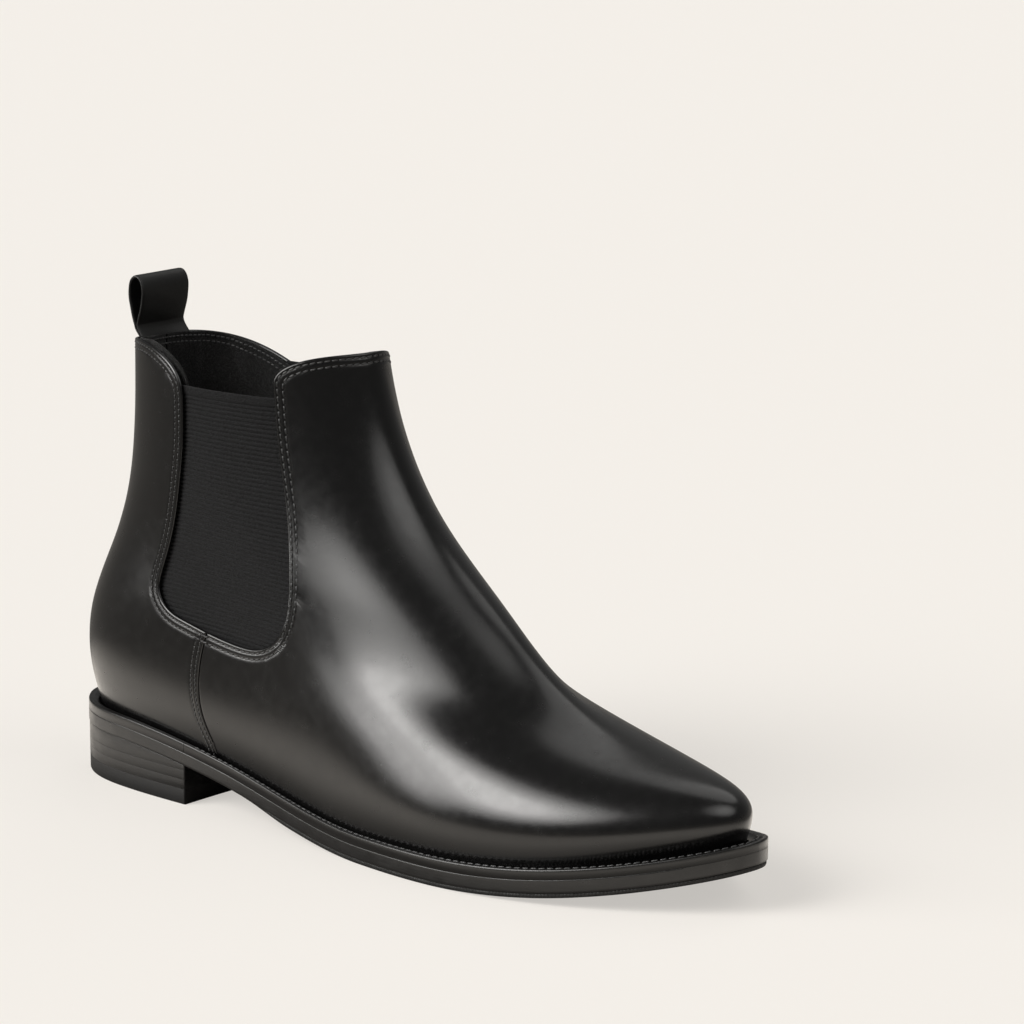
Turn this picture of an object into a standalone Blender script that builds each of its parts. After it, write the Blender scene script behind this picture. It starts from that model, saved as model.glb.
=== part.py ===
"""Chelsea boot for the right foot: black leather upper, elastic side gores, stacked heel.

Lengths are in millimetres until to_metres() turns them into Blender's metres. While the
boot is shaped, X runs from the rear of the sole (0) to the toe, Y from the outer side of
the foot (negative) to the inner side, and Z up from the ground.

The upper is one smooth skin, lofted through tilted rings: the first follows the line
where the upper meets the welt, the last lies just above the collar. A point of the skin
is named by u, the way round a ring (0 at the back, then outer side, toe, inner side and
back to 1), and v, the way up (0 at the welt, 1 at the last ring). Every leather panel,
lining and stiffener is a stretch of that skin at its own depth.
"""
import math

import bmesh
import bpy
import numpy as np

# ---------------------------------------------------------------- driving dimensions, mm
MM = 0.001
GAP = 0.3

SOLE_LENGTH = 305.0
SOLE_WIDTH_OFFSET = 1.6        # middle of the sole's width, to the inner side of Y = 0

WELT_THICK = 3.6
OUTSOLE_THICK = 4.4
RUBBER_THICK = 1.5
SOLE_STACK = WELT_THICK + OUTSOLE_THICK + RUBBER_THICK + 2 * GAP

HEEL_SEAT_RISE = 16.4
HEEL_RAMP_TOP = 30.0
HEEL_RAMP_FOOT = 168.0
TOE_SPRING = 15.0
TOE_SPRING_START = 198.0
TOE_SPRING_POWER = 2.2

UPPER_THICK = 1.6
FILLING_ROOM = 1.4             # between leather and lining, for the pieces below
FILLING_THICK = 1.0            # gore and loop ends
STIFFENER_THICK = 0.8
LINING_THICK = 0.8
FILLING_DEPTH = UPPER_THICK + GAP
LINING_DEPTH = FILLING_DEPTH + FILLING_ROOM + GAP
COLLAR_LINING_DEPTH = UPPER_THICK + GAP
CAVITY_DEPTH = LINING_DEPTH + LINING_THICK
LASTING_MARGIN = 12.0
INSOLE_CLEARANCE = 0.8

BREAST_X = 71.5
RUBBER_START_X = 96.0
TOP_PIECE_THICK = 5.7
LIFT_THICK = 3.3
HEEL_INSET = 0.2               # of the lifts behind the sole's edge
HEEL_TAPER = 0.3               # further inset at the ground
HEEL_TAPER_HEIGHT = 18.0
NAIL_RADIUS = 0.9
NAIL_HOLE_RADIUS = 1.3
NAIL_LENGTH = 4.4
NAIL_PLACES = ((12.0, 0.0), (28.0, -19.0), (28.0, 19.0), (56.0, -20.0), (56.0, 20.0))

SHANK_REACH = (40.0, 142.0)    # from the heel seat to just behind the ball
SHANK_HALF_WIDTH = 7.0
SHANK_THICK = 1.3
INSOLE_THICK = 2.5
SOCK_THICK = 1.0
CORK_REACH = (146.0, 281.0)

LOOP_WIDTH = 24.0
LOOP_TAPE = 1.1
LOOP_TOP_Z = 184.5
LOOP_BULGE = 4.0               # half-width of the finger hole at its widest
LOOP_FOOT_RISE = 0.6           # of the finger hole's foot above the hinge
HINGE_X = 28.6
HINGE_Z = 164.4
COLLAR_BACK_Z = 162.2
LOOP_END_HALF_U = 0.039        # half-width of the sewn-in ends, as a share of the ring
LOOP_END_V = (0.115, 0.006)    # how far below the collar they end and begin

BACK_STRIP_HALF_U = 0.0075
BACK_STRIP_FOOT_V = 0.30
BACK_STRIP_THICK = 0.9

THREAD_RADIUS = 0.35
ROW_FROM_EDGE = 2.0
ROW_SPACING = 2.2

# Shares of a ring's length, from back to front, at which its half-widths are given.
ALONG = (0.05, 0.17, 0.33, 0.50, 0.67, 0.83, 0.94)

# Each ring: its back (x, z), its front (x, z), how much of the sole's curve it follows,
# and its half-widths on the outer and on the inner side.
RINGS = (
    ((6, 26.5), (297, 22.7), 1.00,
     (20.5, 28.5, 32, 40.5, 46, 37.5, 20), (23, 30, 30, 37, 49, 40, 21)),
    ((3, 41), (298, 32), 0.80,
     (23, 32, 34.5, 41, 47.5, 40, 23), (24.5, 33, 32, 38, 49, 41, 23.5)),
    ((3.8, 57), (290, 40.5), 0.60,
     (24.5, 33.5, 35, 40, 44, 36, 20.5), (25, 34, 33.5, 38, 44.5, 35.5, 20)),
    ((9, 74), (264, 47.5), 0.38,
     (23.5, 33.5, 34.5, 37.5, 38.5, 30, 17), (23.5, 33.5, 34, 37, 38.5, 29.5, 16)),
    ((17, 91), (226, 58), 0.20,
     (21.5, 31.5, 34, 35.5, 34.5, 26.5, 15.5), (21.5, 31.5, 34, 35.5, 34, 25.5, 14)),
    ((23, 108), (194, 80), 0.08,
     (19.5, 29.5, 33, 34.5, 32, 25, 14.5), (19.5, 29.5, 33, 34.5, 31.5, 24.5, 14)),
    ((26, 126), (162, 107), 0.0,
     (17.5, 28, 32.5, 33.5, 30.5, 24, 14), (17.5, 28, 32.5, 33.5, 30.5, 24, 14)),
    ((28, 145), (140.5, 141), 0.0,
     (17, 27, 32, 33, 30.5, 24, 14), (17, 27, 32, 33, 30.5, 24, 14)),
    ((28, 165), (132, 175), 0.0,
     (16.5, 26.5, 31.5, 33, 30.5, 23.5, 13.5), (16.5, 26.5, 31.5, 33, 30.5, 23.5, 13.5)),
)

# How far the welt and sole stand out past the first ring, along the foot.
WELT_REACH_AT = (0.0, 0.05, 0.17, 0.33, 0.50, 0.67, 0.83, 0.94, 1.0)
WELT_REACH = (6.0, 4.5, 3.0, 2.5, 3.5, 4.2, 5.0, 6.5, 8.0)
RIM_GAP = 0.001                # half the gap between welt and rand, as a share of the foot

# Seams as seen from the side, (x, z), each run upwards from the welt.
SEAM_JOIN = (84.5, 66.0)
SIDE_SEAM = ((85.5, 25.0), (82.0, 34.0), (80.5, 47.0), SEAM_JOIN)
GORE_FOOT_REAR = (SEAM_JOIN, (74.0, 68.5), (64.7, 71.9), (60.2, 78.0))
GORE_REAR = ((61.4, 86.0), (65.0, 98.0), (69.0, 117.0), (71.2, 133.0), (71.2, 149.0))
GORE_FOOT_FRONT = (SEAM_JOIN, (100.0, 63.8), (112.0, 65.0), (120.0, 71.0), (123.2, 80.0))
GORE_FRONT = ((122.7, 93.0), (118.3, 114.0), (112.8, 137.0), (109.8, 157.0))
GORE_EDGE_REAR = GORE_FOOT_REAR + GORE_REAR
GORE_EDGE_FRONT = GORE_FOOT_FRONT + GORE_FRONT
SIDE_SEAM_ROWS_RUN = ((82.9, 33.0), (80.9, 47.0), (83.6, 58.0))
GORE_TOP_Z = 152.5
GORE_UNDERLAP = 7.0
GORE_LOWEST = (62.0, 57.5)     # bottom edge of the hidden margin, at its rear and front

VAMP_CREST_V = 0.972
# Vamp's collar on the outer and the inner side: power along it, and power of its corner.
VAMP_COLLARS = ((3.0, 0.45), (1.6, 1.0))
# Collar of the outer and the inner quarter: power along it, power of its corner, bulge in v.
QUARTER_COLLARS = {True: (4.0, 0.4, 0.012), False: (2.0, 1.1, 0.0)}
QUARTER_LEVEL_SHARE = 0.75     # share of a quarter over which its rows bend to the seam's
BACK_SEAM_HALF_U = 0.0007
COLLAR_REACH = 3               # power by which the rows below follow the collar's line

# ------------------------------------------------------------------------- colours
BLACK_CALF = ("black_calf", (0.012, 0.012, 0.013), 0.32, 0.0)
BLACK_LINING = ("black_lining", (0.016, 0.015, 0.015), 0.75, 0.0)
BLACK_ELASTIC = ("black_elastic", (0.020, 0.020, 0.022), 0.85, 0.0)
BLACK_TAPE = ("black_tape", (0.014, 0.014, 0.015), 0.80, 0.0)
BLACK_THREAD = ("black_thread", (0.030, 0.030, 0.032), 0.55, 0.0)
BLACK_WELT = ("black_welt", (0.014, 0.013, 0.013), 0.45, 0.0)
BLACK_RUBBER = ("black_rubber", (0.018, 0.018, 0.019), 0.70, 0.0)
STACKED_LEATHER = ("stacked_leather", (0.013, 0.012, 0.012), 0.40, 0.0)
FIBREBOARD = ("fibreboard", (0.36, 0.25, 0.15), 0.85, 0.0)
CORK = ("cork", (0.42, 0.27, 0.14), 0.90, 0.0)
STIFFENER = ("stiffener", (0.55, 0.47, 0.36), 0.80, 0.0)
STEEL = ("steel", (0.55, 0.56, 0.58), 0.35, 1.0)


# ------------------------------------------------------------------------- the skin
def ease(t):
    """Smooth step from 0 to 1."""
    t = np.clip(t, 0.0, 1.0)
    return t * t * (3.0 - 2.0 * t)


def welt_height(x):
    """Height of the welt's top: heel seat, ramp down through the waist, and toe spring."""
    heel = HEEL_SEAT_RISE * ease((HEEL_RAMP_FOOT - x) / (HEEL_RAMP_FOOT - HEEL_RAMP_TOP))
    run = np.clip((x - TOE_SPRING_START) / (SOLE_LENGTH - TOE_SPRING_START), 0.0, None)
    return SOLE_STACK + heel + TOE_SPRING * run ** TOE_SPRING_POWER


def spline_weights(knots, at, closed=False):
    """Weight of each knot's value at each place, for a natural or a closed cubic spline."""
    knots = np.asarray(knots, float)
    at = np.asarray(at, float)
    count = len(knots)
    step = np.diff(knots)
    system = np.zeros((count, count))
    slope_change = np.zeros((count, count))
    for i in range(1, count - 1):
        system[i, i - 1:i + 2] = step[i - 1], 2 * (step[i - 1] + step[i]), step[i]
        slope_change[i, i - 1:i + 2] = 1 / step[i - 1], -1 / step[i - 1] - 1 / step[i], 1 / step[i]
    if closed:
        system[0, [0, 1, -2]] = 2 * (step[0] + step[-1]), step[0], step[-1]
        system[-1, [0, -1]] = 1, -1
        slope_change[0, [0, 1]] = -1 / step[0], 1 / step[0]
        slope_change[0, [-2, -1]] = 1 / step[-1], -1 / step[-1]
    else:
        system[0, 0] = 1
        system[-1, -1] = 1
    bend = np.linalg.solve(system, 6 * slope_change)
    i = np.clip(np.searchsorted(knots, at, side="right") - 1, 0, count - 2)
    width = step[i]
    far = (at - knots[i]) / width
    near = 1 - far
    value = np.eye(count)
    weights = near[:, None] * value[i] + far[:, None] * value[i + 1]
    weights += ((near ** 3 - near) * width ** 2 / 6)[:, None] * bend[i]
    weights += ((far ** 3 - far) * width ** 2 / 6)[:, None] * bend[i + 1]
    if closed:
        weights[:, 0] += weights[:, -1]
        weights = weights[:, :-1]
    return weights


def ring_points():
    """Points of every ring: back, outer side, toe, inner side."""
    share = np.array((0.0,) + ALONG + (1.0,) + ALONG[::-1])
    (back_x, back_z), (front_x, front_z) = RINGS[0][:2]
    rings = []
    for (rear_x, rear_z), (fore_x, fore_z), follow, outer, inner in RINGS:
        x = rear_x + share * (fore_x - rear_x)
        chord = back_z + (front_z - back_z) * (x - back_x) / (front_x - back_x)
        z = rear_z + share * (fore_z - rear_z) + follow * (welt_height(x) - chord)
        y = np.array((0.0,) + tuple(-w for w in outer) + (0.0,) + inner[::-1])
        rings.append(np.stack([x, y, z], axis=1))
    return np.array(rings)


def mean_spacing(lengths):
    """Knots from 0 to 1, spaced by the mean of the rows' own spacings."""
    shares = (lengths / lengths.sum(axis=1, keepdims=True)).mean(axis=0)
    return np.concatenate([[0.0], np.cumsum(shares)])


CONTROLS = ring_points()
AROUND = np.concatenate([CONTROLS, CONTROLS[:, :1]], axis=1)
U_KNOTS = mean_spacing(np.linalg.norm(np.diff(AROUND, axis=1), axis=2))
V_KNOTS = mean_spacing(np.linalg.norm(np.diff(CONTROLS, axis=0), axis=2).T)
TOE_U = U_KNOTS[len(ALONG) + 1]


def skin(u, v):
    """Points of the skin; u and v are arrays of one shape."""
    u, v = np.broadcast_arrays(np.asarray(u, float), np.asarray(v, float))
    around = spline_weights(U_KNOTS, u.ravel() % 1.0, closed=True)
    upward = spline_weights(V_KNOTS, v.ravel())
    points = np.einsum("ki,kj,ijc->kc", upward, around, CONTROLS)
    return points.reshape(u.shape + (3,))


def skin_normal(u, v):
    """Outward unit normals of the skin."""
    h = 1e-4
    around = skin(u + h, v) - skin(u - h, v)
    upward = skin(u, v + h) - skin(u, v - h)
    normal = np.cross(around, upward)
    return normal / np.linalg.norm(normal, axis=-1, keepdims=True)


def under_skin(u, v, depth):
    """Points a given depth under the skin."""
    return skin(u, v) - np.asarray(depth)[..., None] * skin_normal(u, v)


def level_normal(u):
    """Outward unit normals of the first ring, seen from above."""
    h = 1e-4
    run = skin(u + h, np.zeros_like(u)) - skin(u - h, np.zeros_like(u))
    normal = np.stack([run[..., 1], -run[..., 0], np.zeros_like(u)], axis=-1)
    return normal / np.linalg.norm(normal, axis=-1, keepdims=True)


def beside_welt(u, outward, below):
    """Points level with the first ring, moved outward and a given way below the welt's top."""
    u = np.asarray(u, float)
    points = skin(u, np.zeros_like(u)) + np.asarray(outward)[..., None] * level_normal(u)
    points[..., 2] = welt_height(points[..., 0]) - below
    return points


def locate(side_points, outer_side):
    """u and v of the skin points that show at the given (x, z) from one side."""
    target = np.asarray(side_points, float)
    share = np.clip((target[:, 0] - 5) / 290, 0.02, 0.98)
    u = TOE_U * share if outer_side else 1 - (1 - TOE_U) * share
    v = np.full(len(target), 0.4)
    h = 1e-4
    for _ in range(40):
        here = skin(u, v)[:, [0, 2]]
        by_u = (skin(u + h, v)[:, [0, 2]] - here) / h
        by_v = (skin(u, v + h)[:, [0, 2]] - here) / h
        miss = target - here
        area = by_u[:, 0] * by_v[:, 1] - by_u[:, 1] * by_v[:, 0]
        u_step = (miss[:, 0] * by_v[:, 1] - miss[:, 1] * by_v[:, 0]) / area
        v_step = (by_u[:, 0] * miss[:, 1] - by_u[:, 1] * miss[:, 0]) / area
        u = u + np.clip(u_step, -0.05, 0.05)
        v = v + np.clip(v_step, -0.1, 0.1)
    return u, v


def smooth_run(points, count):
    """count + 1 points along a smooth line through the given ones, evenly spaced."""
    points = np.asarray(points, float)
    knots = np.concatenate([[0.0], np.cumsum(np.linalg.norm(np.diff(points, axis=0), axis=1))])
    return spline_weights(knots, np.linspace(0, knots[-1], count + 1)) @ points


def seam_line(parts, counts, outer_side, shift):
    """u and v along joined seam runs; shift moves the seam along X by the given amount."""
    runs = [smooth_run(part, count) for part, count in zip(parts, counts)]
    line = np.concatenate([runs[0]] + [run[1:] for run in runs[1:]])
    line[:, 0] += shift
    line[0, 1] = welt_height(line[0, 0])
    u, v = locate(line, outer_side)
    v[0] = 0.0
    return u, v


# ------------------------------------------------------------------- Blender objects
def to_metres(points):
    """Points in metres, with the origin on the ground under the middle of the sole."""
    points = np.asarray(points, float)
    return (points - (SOLE_LENGTH / 2, SOLE_WIDTH_OFFSET, 0.0)) * MM


def clear_scene():
    for scene_object in list(bpy.data.objects):
        bpy.data.objects.remove(scene_object, do_unlink=True)


def new_collection(name):
    group = bpy.data.collections.new(name)
    bpy.context.scene.collection.children.link(group)
    return group


def material(look):
    """The Principled material of a (name, colour, roughness, metallic) look."""
    name, colour, roughness, metallic = look
    made = bpy.data.materials.get(name)
    if made is None:
        made = bpy.data.materials.new(name)
        made.use_nodes = True
        shader = made.node_tree.nodes["Principled BSDF"]
        shader.inputs["Base Color"].default_value = colour + (1.0,)
        shader.inputs["Roughness"].default_value = roughness
        shader.inputs["Metallic"].default_value = metallic
        made.diffuse_color = colour + (1.0,)
    return made


def place(name, data, look):
    """Wrap mesh or curve data in a named object of the boot's collection."""
    data.name = name
    data.materials.append(material(look))
    made = bpy.data.objects.new(name, data)
    BOOT.objects.link(made)
    return made


def grid_faces(rows, columns, closed=False):
    """Quads of a grid of points held row by row; closed joins the last row to the first."""
    faces = []
    for i in range(rows if closed else rows - 1):
        for j in range(columns - 1):
            below = i * columns + j
            above = ((i + 1) % rows) * columns + j
            faces.append((below, below + 1, above + 1, above))
    return faces


def shell(name, points, thick, look, closed=False):
    """A sheet through a grid of points, given its thickness on the inner side."""
    rows, columns = points.shape[:2]
    mesh = bpy.data.meshes.new(name)
    corners = to_metres(points).reshape(-1, 3).tolist()
    mesh.from_pydata(corners, [], grid_faces(rows, columns, closed))
    mesh.shade_smooth()
    made = place(name, mesh, look)
    wall = made.modifiers.new("thickness", "SOLIDIFY")
    wall.thickness = thick * MM
    wall.offset = -1.0
    return made


def loft(name, sections, look):
    """A solid through closed sections, each with the same number of points, with flat ends."""
    sections = to_metres(sections)
    mesh = bpy.data.meshes.new(name)
    form = bmesh.new()
    rings = [[form.verts.new(point) for point in section] for section in sections]
    size = len(rings[0])
    for low, high in zip(rings, rings[1:]):
        for i in range(size):
            j = (i + 1) % size
            form.faces.new((low[i], low[j], high[j], high[i]))
    form.faces.new(rings[0][::-1])
    form.faces.new(rings[-1])
    bmesh.ops.recalc_face_normals(form, faces=form.faces)
    form.to_mesh(mesh)
    form.free()
    return place(name, mesh, look)


def thread(name, points, look=BLACK_THREAD):
    """A sewing thread as a thin round tube along the given points."""
    curve = bpy.data.curves.new(name, "CURVE")
    curve.dimensions = "3D"
    curve.bevel_depth = THREAD_RADIUS * MM
    curve.bevel_resolution = 0
    curve.use_fill_caps = True
    line = curve.splines.new("POLY")
    line.points.add(len(points) - 1)
    for knot, point in zip(line.points, to_metres(points)):
        knot.co = (*point, 1.0)
    return place(name, curve, look)


# ------------------------------------------------------------------------ the upper
SEAM_ROWS = (4, 13)            # along the side seam, and along the gore's edge
QUARTER_COLUMNS = 10
VAMP_COLUMNS = 40
TOE_CROWDING = 0.5             # how much closer the vamp's columns lie at the toe
COUNTER_ROWS = 4
COUNTER_COLUMNS = 9
PUFF_ROWS = 6
PUFF_COLUMNS = 20
WALL_BELOW = WELT_THICK        # the upper's wall reaches the underside of the welt
INNER_WALL_BELOW = 1.6         # linings and stiffeners stop above the upper's margin
GORE_ROOM_U = (0.085, 0.42)    # stretch of a side, from the back, where the lining lies deeper
LOOP_ROOM_U = 0.06
GORE_ROOM_FADE = 0.03
LOOP_ROOM_FADE = 0.02
COLLAR_ROOM_V = (0.82, 0.94)   # above the first the lining comes closer to the leather


def lining_depth(u, v):
    """The lining hugs the leather at the collar and makes room elsewhere for the fillings."""
    u = np.asarray(u, float)
    from_back = np.minimum(u, 1 - u)
    rear, front = GORE_ROOM_U
    gore_zone = ease((from_back - rear) / GORE_ROOM_FADE)
    gore_zone = gore_zone * ease((front - from_back) / GORE_ROOM_FADE)
    loop_zone = ease((LOOP_ROOM_U - from_back) / LOOP_ROOM_FADE)
    low, high = COLLAR_ROOM_V
    below_collar = 1 - ease((v - low) / (high - low))
    room = np.maximum(np.maximum(gore_zone, loop_zone), below_collar)
    return COLLAR_LINING_DEPTH + (LINING_DEPTH - COLLAR_LINING_DEPTH) * room


def quarter_uv(outer_side):
    """Grid over a quarter: from the back seam to the side seam and the gore's rear edge."""
    seam_u, seam_v = seam_line((SIDE_SEAM, GORE_EDGE_REAR), SEAM_ROWS, outer_side, -GAP / 2)
    t = np.linspace(0, 1, QUARTER_COLUMNS + 1)
    back_u = BACK_SEAM_HALF_U if outer_side else 1 - BACK_SEAM_HALF_U
    u = back_u + (seam_u - back_u)[:, None] * t
    power, corner, bulge = QUARTER_COLLARS[outer_side]
    rise = (1 - t ** power) ** corner
    lift = (collar_back_v() - seam_v[-1]) * rise + bulge * np.sin(math.pi * t) ** 2
    even = np.linspace(0, 1, len(seam_v))[:, None]
    at_back = even * seam_v[-1]
    v = at_back + (seam_v[:, None] - at_back) * ease(t / QUARTER_LEVEL_SHARE)
    return u, v + lift * even ** COLLAR_REACH


def collar_back_v():
    """v of the collar at the back seam."""
    v = np.linspace(0.8, 1.0, 201)
    heights = skin(np.zeros_like(v), v)[:, 2]
    return float(np.interp(COLLAR_BACK_Z, heights, v))


def vamp_uv():
    """Grid over the vamp: from one side seam and gore, over the instep, to the other."""
    parts = (SIDE_SEAM, GORE_EDGE_FRONT)
    outer_u, outer_v = seam_line(parts, SEAM_ROWS, True, GAP / 2)
    inner_u, inner_v = seam_line(parts, SEAM_ROWS, False, GAP / 2)
    t = np.linspace(0, 1, VAMP_COLUMNS + 1)
    t = t + TOE_CROWDING * np.sin(2 * math.pi * t) / (2 * math.pi)
    u = outer_u[:, None] + (inner_u - outer_u)[:, None] * t
    from_edge = 1 - np.abs(2 * t - 1)
    edge = outer_v[:, None] + (inner_v - outer_v)[:, None] * t
    power, corner = (np.where(t < 0.5, *pair) for pair in zip(*VAMP_COLLARS))
    rise = (1 - (1 - from_edge) ** power) ** corner
    lift = (VAMP_CREST_V - edge[-1]) * rise
    even = np.linspace(0, 1, len(outer_v))[:, None]
    v = edge + (even * edge[-1] - edge) * ease(from_edge)
    return u, v + lift * even ** COLLAR_REACH


def upper_panel(name, u, v, look=BLACK_CALF):
    """A leather panel with its wall beside the welt and its margin turned under the foot."""
    foot = u[0]
    margin = [beside_welt(foot, np.full_like(foot, -reach), WALL_BELOW)
              for reach in (LASTING_MARGIN, LASTING_MARGIN / 2, 1.2)]
    wall = [beside_welt(foot, np.zeros_like(foot), WALL_BELOW - 1.0)]
    rows = margin + wall + list(skin(u, v))
    return shell(name, np.array(rows), UPPER_THICK, look)


def inner_panel(name, u, v, depth, thick, look):
    """A lining or stiffener panel at a depth, down to just above the upper's margin."""
    foot_depth = depth[0]
    wall = beside_welt(u[0], -foot_depth, INNER_WALL_BELOW)
    rows = [wall] + list(under_skin(u, v, depth))
    return shell(name, np.array(rows), thick, look)


def make_quarters():
    """Both quarters, their linings, and the counter that stiffens the heel between them."""
    counter = []
    for side, outer_side in (("medial", False), ("lateral", True)):
        u, v = quarter_uv(outer_side)
        if not outer_side:
            u, v = u[:, ::-1], v[:, ::-1]
        upper_panel("quarter_" + side, u, v)
        inner_panel("quarter_lining_" + side, u, v, lining_depth(u, v), LINING_THICK, BLACK_LINING)
        near_back = slice(0, COUNTER_COLUMNS) if outer_side else slice(-COUNTER_COLUMNS, None)
        counter.append((u[:COUNTER_ROWS, near_back], v[:COUNTER_ROWS, near_back]))
    u = np.concatenate([counter[0][0] - 1, counter[1][0]], axis=1)
    v = np.concatenate([counter[0][1], counter[1][1]], axis=1)
    stiffener("heel_counter", u, v)


def make_vamp():
    """The vamp, its lining, and the puff that keeps the toe's shape between them."""
    u, v = vamp_uv()
    upper_panel("vamp", u, v)
    inner_panel("vamp_lining", u, v, lining_depth(u, v), LINING_THICK, BLACK_LINING)
    first = (VAMP_COLUMNS - PUFF_COLUMNS) // 2
    toe = slice(first, first + PUFF_COLUMNS + 1)
    stiffener("toe_puff", u[:PUFF_ROWS, toe], v[:PUFF_ROWS, toe])


def stiffener(name, u, v):
    """A stiffener panel in the middle of the room between leather and lining."""
    depth = np.full(u.shape, FILLING_DEPTH + (FILLING_ROOM - STIFFENER_THICK) / 2)
    inner_panel(name, u, v, depth, STIFFENER_THICK, STIFFENER)


def make_gore(name, outer_side, rows=10, columns=14):
    """Elastic side panel, whose hidden margin runs on under the leather around it."""
    s = np.linspace(0, 1, rows + 1)
    rear = smooth_run(GORE_FOOT_REAR[-1:] + GORE_REAR, 40)
    front = smooth_run(GORE_FOOT_FRONT[-1:] + GORE_FRONT, 40)
    grid = []
    for share in s:
        low_rear, low_front = GORE_LOWEST
        z_rear = low_rear + (GORE_TOP_Z - low_rear) * share
        z_front = low_front + (GORE_TOP_Z - low_front) * share
        x_rear = np.interp(z_rear, rear[:, 1], rear[:, 0]) - GORE_UNDERLAP
        x_front = np.interp(z_front, front[:, 1], front[:, 0]) + GORE_UNDERLAP
        t = np.linspace(0, 1, columns + 1)
        grid.append(np.stack([x_rear + (x_front - x_rear) * t, z_rear + (z_front - z_rear) * t], 1))
    side_points = np.array(grid)
    if not outer_side:
        side_points = side_points[:, ::-1]
    u, v = locate(side_points.reshape(-1, 2), outer_side)
    u = u.reshape(side_points.shape[:2])
    v = v.reshape(side_points.shape[:2])
    points = under_skin(u, v, np.full(u.shape, FILLING_DEPTH))
    shell(name, points, FILLING_THICK, BLACK_ELASTIC)


def make_back_strip():
    """Narrow strip sewn over the back seam, from the collar down to the counter."""
    u, v = np.meshgrid(np.linspace(-1, 1, 5) * BACK_STRIP_HALF_U,
                       np.linspace(BACK_STRIP_FOOT_V, collar_back_v(), 15))
    points = under_skin(u, v, np.full(u.shape, -GAP - BACK_STRIP_THICK))
    shell("back_strip", points, BACK_STRIP_THICK, BLACK_CALF)


# --------------------------------------------------------------------- the pull loop
def make_loop_ends():
    """The loop's two ends, sewn in together between the collar's leather and lining."""
    below, above = LOOP_END_V
    top = collar_back_v()
    u, v = np.meshgrid(np.linspace(-1, 1, 5) * LOOP_END_HALF_U,
                       np.linspace(top - below, top - above, 6))
    points = under_skin(u, v, np.full(u.shape, FILLING_DEPTH))
    shell("pull_loop_sewn_ends", points, FILLING_THICK, BLACK_TAPE)


def make_pull_loop():
    """Tape loop that stands on the back of the collar and folds about its foot."""
    foot_z = HINGE_Z + LOOP_FOOT_RISE
    height = LOOP_TOP_Z - LOOP_TAPE - foot_z
    turn = np.linspace(0, 2 * math.pi, 24, endpoint=False)
    rise = (1 - np.cos(turn)) / 2
    spread = LOOP_BULGE * np.sin(turn) * (0.12 + 0.88 * rise ** 0.8)
    y = np.linspace(-LOOP_WIDTH / 2, LOOP_WIDTH / 2, 3)
    hole = np.zeros((len(turn), len(y), 3))
    hole[..., 0] = (HINGE_X + spread)[:, None]
    hole[..., 1] = y
    hole[..., 2] = (foot_z + height * rise)[:, None]
    loop = shell("pull_loop", hole, LOOP_TAPE, BLACK_TAPE, closed=True)
    loop.modifiers["thickness"].offset = 1.0
    hinge = bpy.data.objects.new("pull_loop_hinge", None)
    BOOT.objects.link(hinge)
    hinge.location = to_metres((HINGE_X, 0.0, HINGE_Z)).tolist()
    for vertex in loop.data.vertices:
        vertex.co -= hinge.location
    loop.parent = hinge


# ------------------------------------------------------------------------- the bottom
def outline(reach, samples=240):
    """x, outer y and inner y of the first ring's outline moved outward by reach(share)."""
    s = np.linspace(0, 1, samples + 1)
    outer_u = TOE_U * s
    inner_u = 1 - (1 - TOE_U) * s
    outer = beside_welt(outer_u, reach(s), 0.0)
    inner = beside_welt(inner_u, reach(s), 0.0)
    return outer, inner


def welt_reach(share):
    """How far the welt stands out past the first ring at a share of the foot's length."""
    return np.interp(share, WELT_REACH_AT, WELT_REACH)


def inset_of(distance):
    """An outline's reach that stays inside the first ring by one distance."""
    return lambda share: np.full_like(share, -distance)


def half_widths(x, reach):
    """Outer and inner y of an outline at the given places along X."""
    outer, inner = outline(reach)
    low = max(outer[:, 0].min(), inner[:, 0].min())
    high = min(outer[:, 0].max(), inner[:, 0].max())
    x = np.clip(x, low + 0.2, high - 0.2)
    outer = outer[np.argsort(outer[:, 0])]
    inner = inner[np.argsort(inner[:, 0])]
    return x, np.interp(x, outer[:, 0], outer[:, 1]), np.interp(x, inner[:, 0], inner[:, 1])


def stations(start, end, count, round_start, round_end):
    """Places along X, closer together towards a rounded end."""
    t = np.linspace(0, 1, count + 1)
    if round_start and round_end:
        t = (1 - np.cos(math.pi * t)) / 2
    elif round_start:
        t = 1 - np.cos(math.pi * t / 2)
    elif round_end:
        t = np.sin(math.pi * t / 2)
    return start + (end - start) * t


def plate(name, x, reach, top, bottom, look):
    """A sole layer: top and bottom give its heights along X, reach gives its outline."""
    x, outer_y, inner_y = half_widths(x, reach)
    sections = []
    for here, low, high in zip(x, outer_y, inner_y):
        upper, lower = float(top(here)), float(bottom(here))
        sections.append([(here, low, upper), (here, high, upper),
                         (here, high, lower), (here, low, lower)])
    return loft(name, sections, look)


def below_welt(drop):
    """Height along X of a face that lies a given way below the welt's top."""
    return lambda x: welt_height(x) - drop


def make_sole():
    """The outsole, full length, and the thin rubber under its forefoot."""
    outsole_top = WELT_THICK + GAP
    outsole_bottom = outsole_top + OUTSOLE_THICK
    full = stations(0, SOLE_LENGTH, 44, True, True)
    fore = stations(RUBBER_START_X, SOLE_LENGTH, 30, False, True)
    plate("outsole", full, welt_reach, below_welt(outsole_top), below_welt(outsole_bottom),
          STACKED_LEATHER)
    plate("forefoot_rubber", fore, welt_reach, below_welt(outsole_bottom + GAP),
          lambda x: max(welt_height(x) - SOLE_STACK, 0.0), BLACK_RUBBER)


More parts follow.
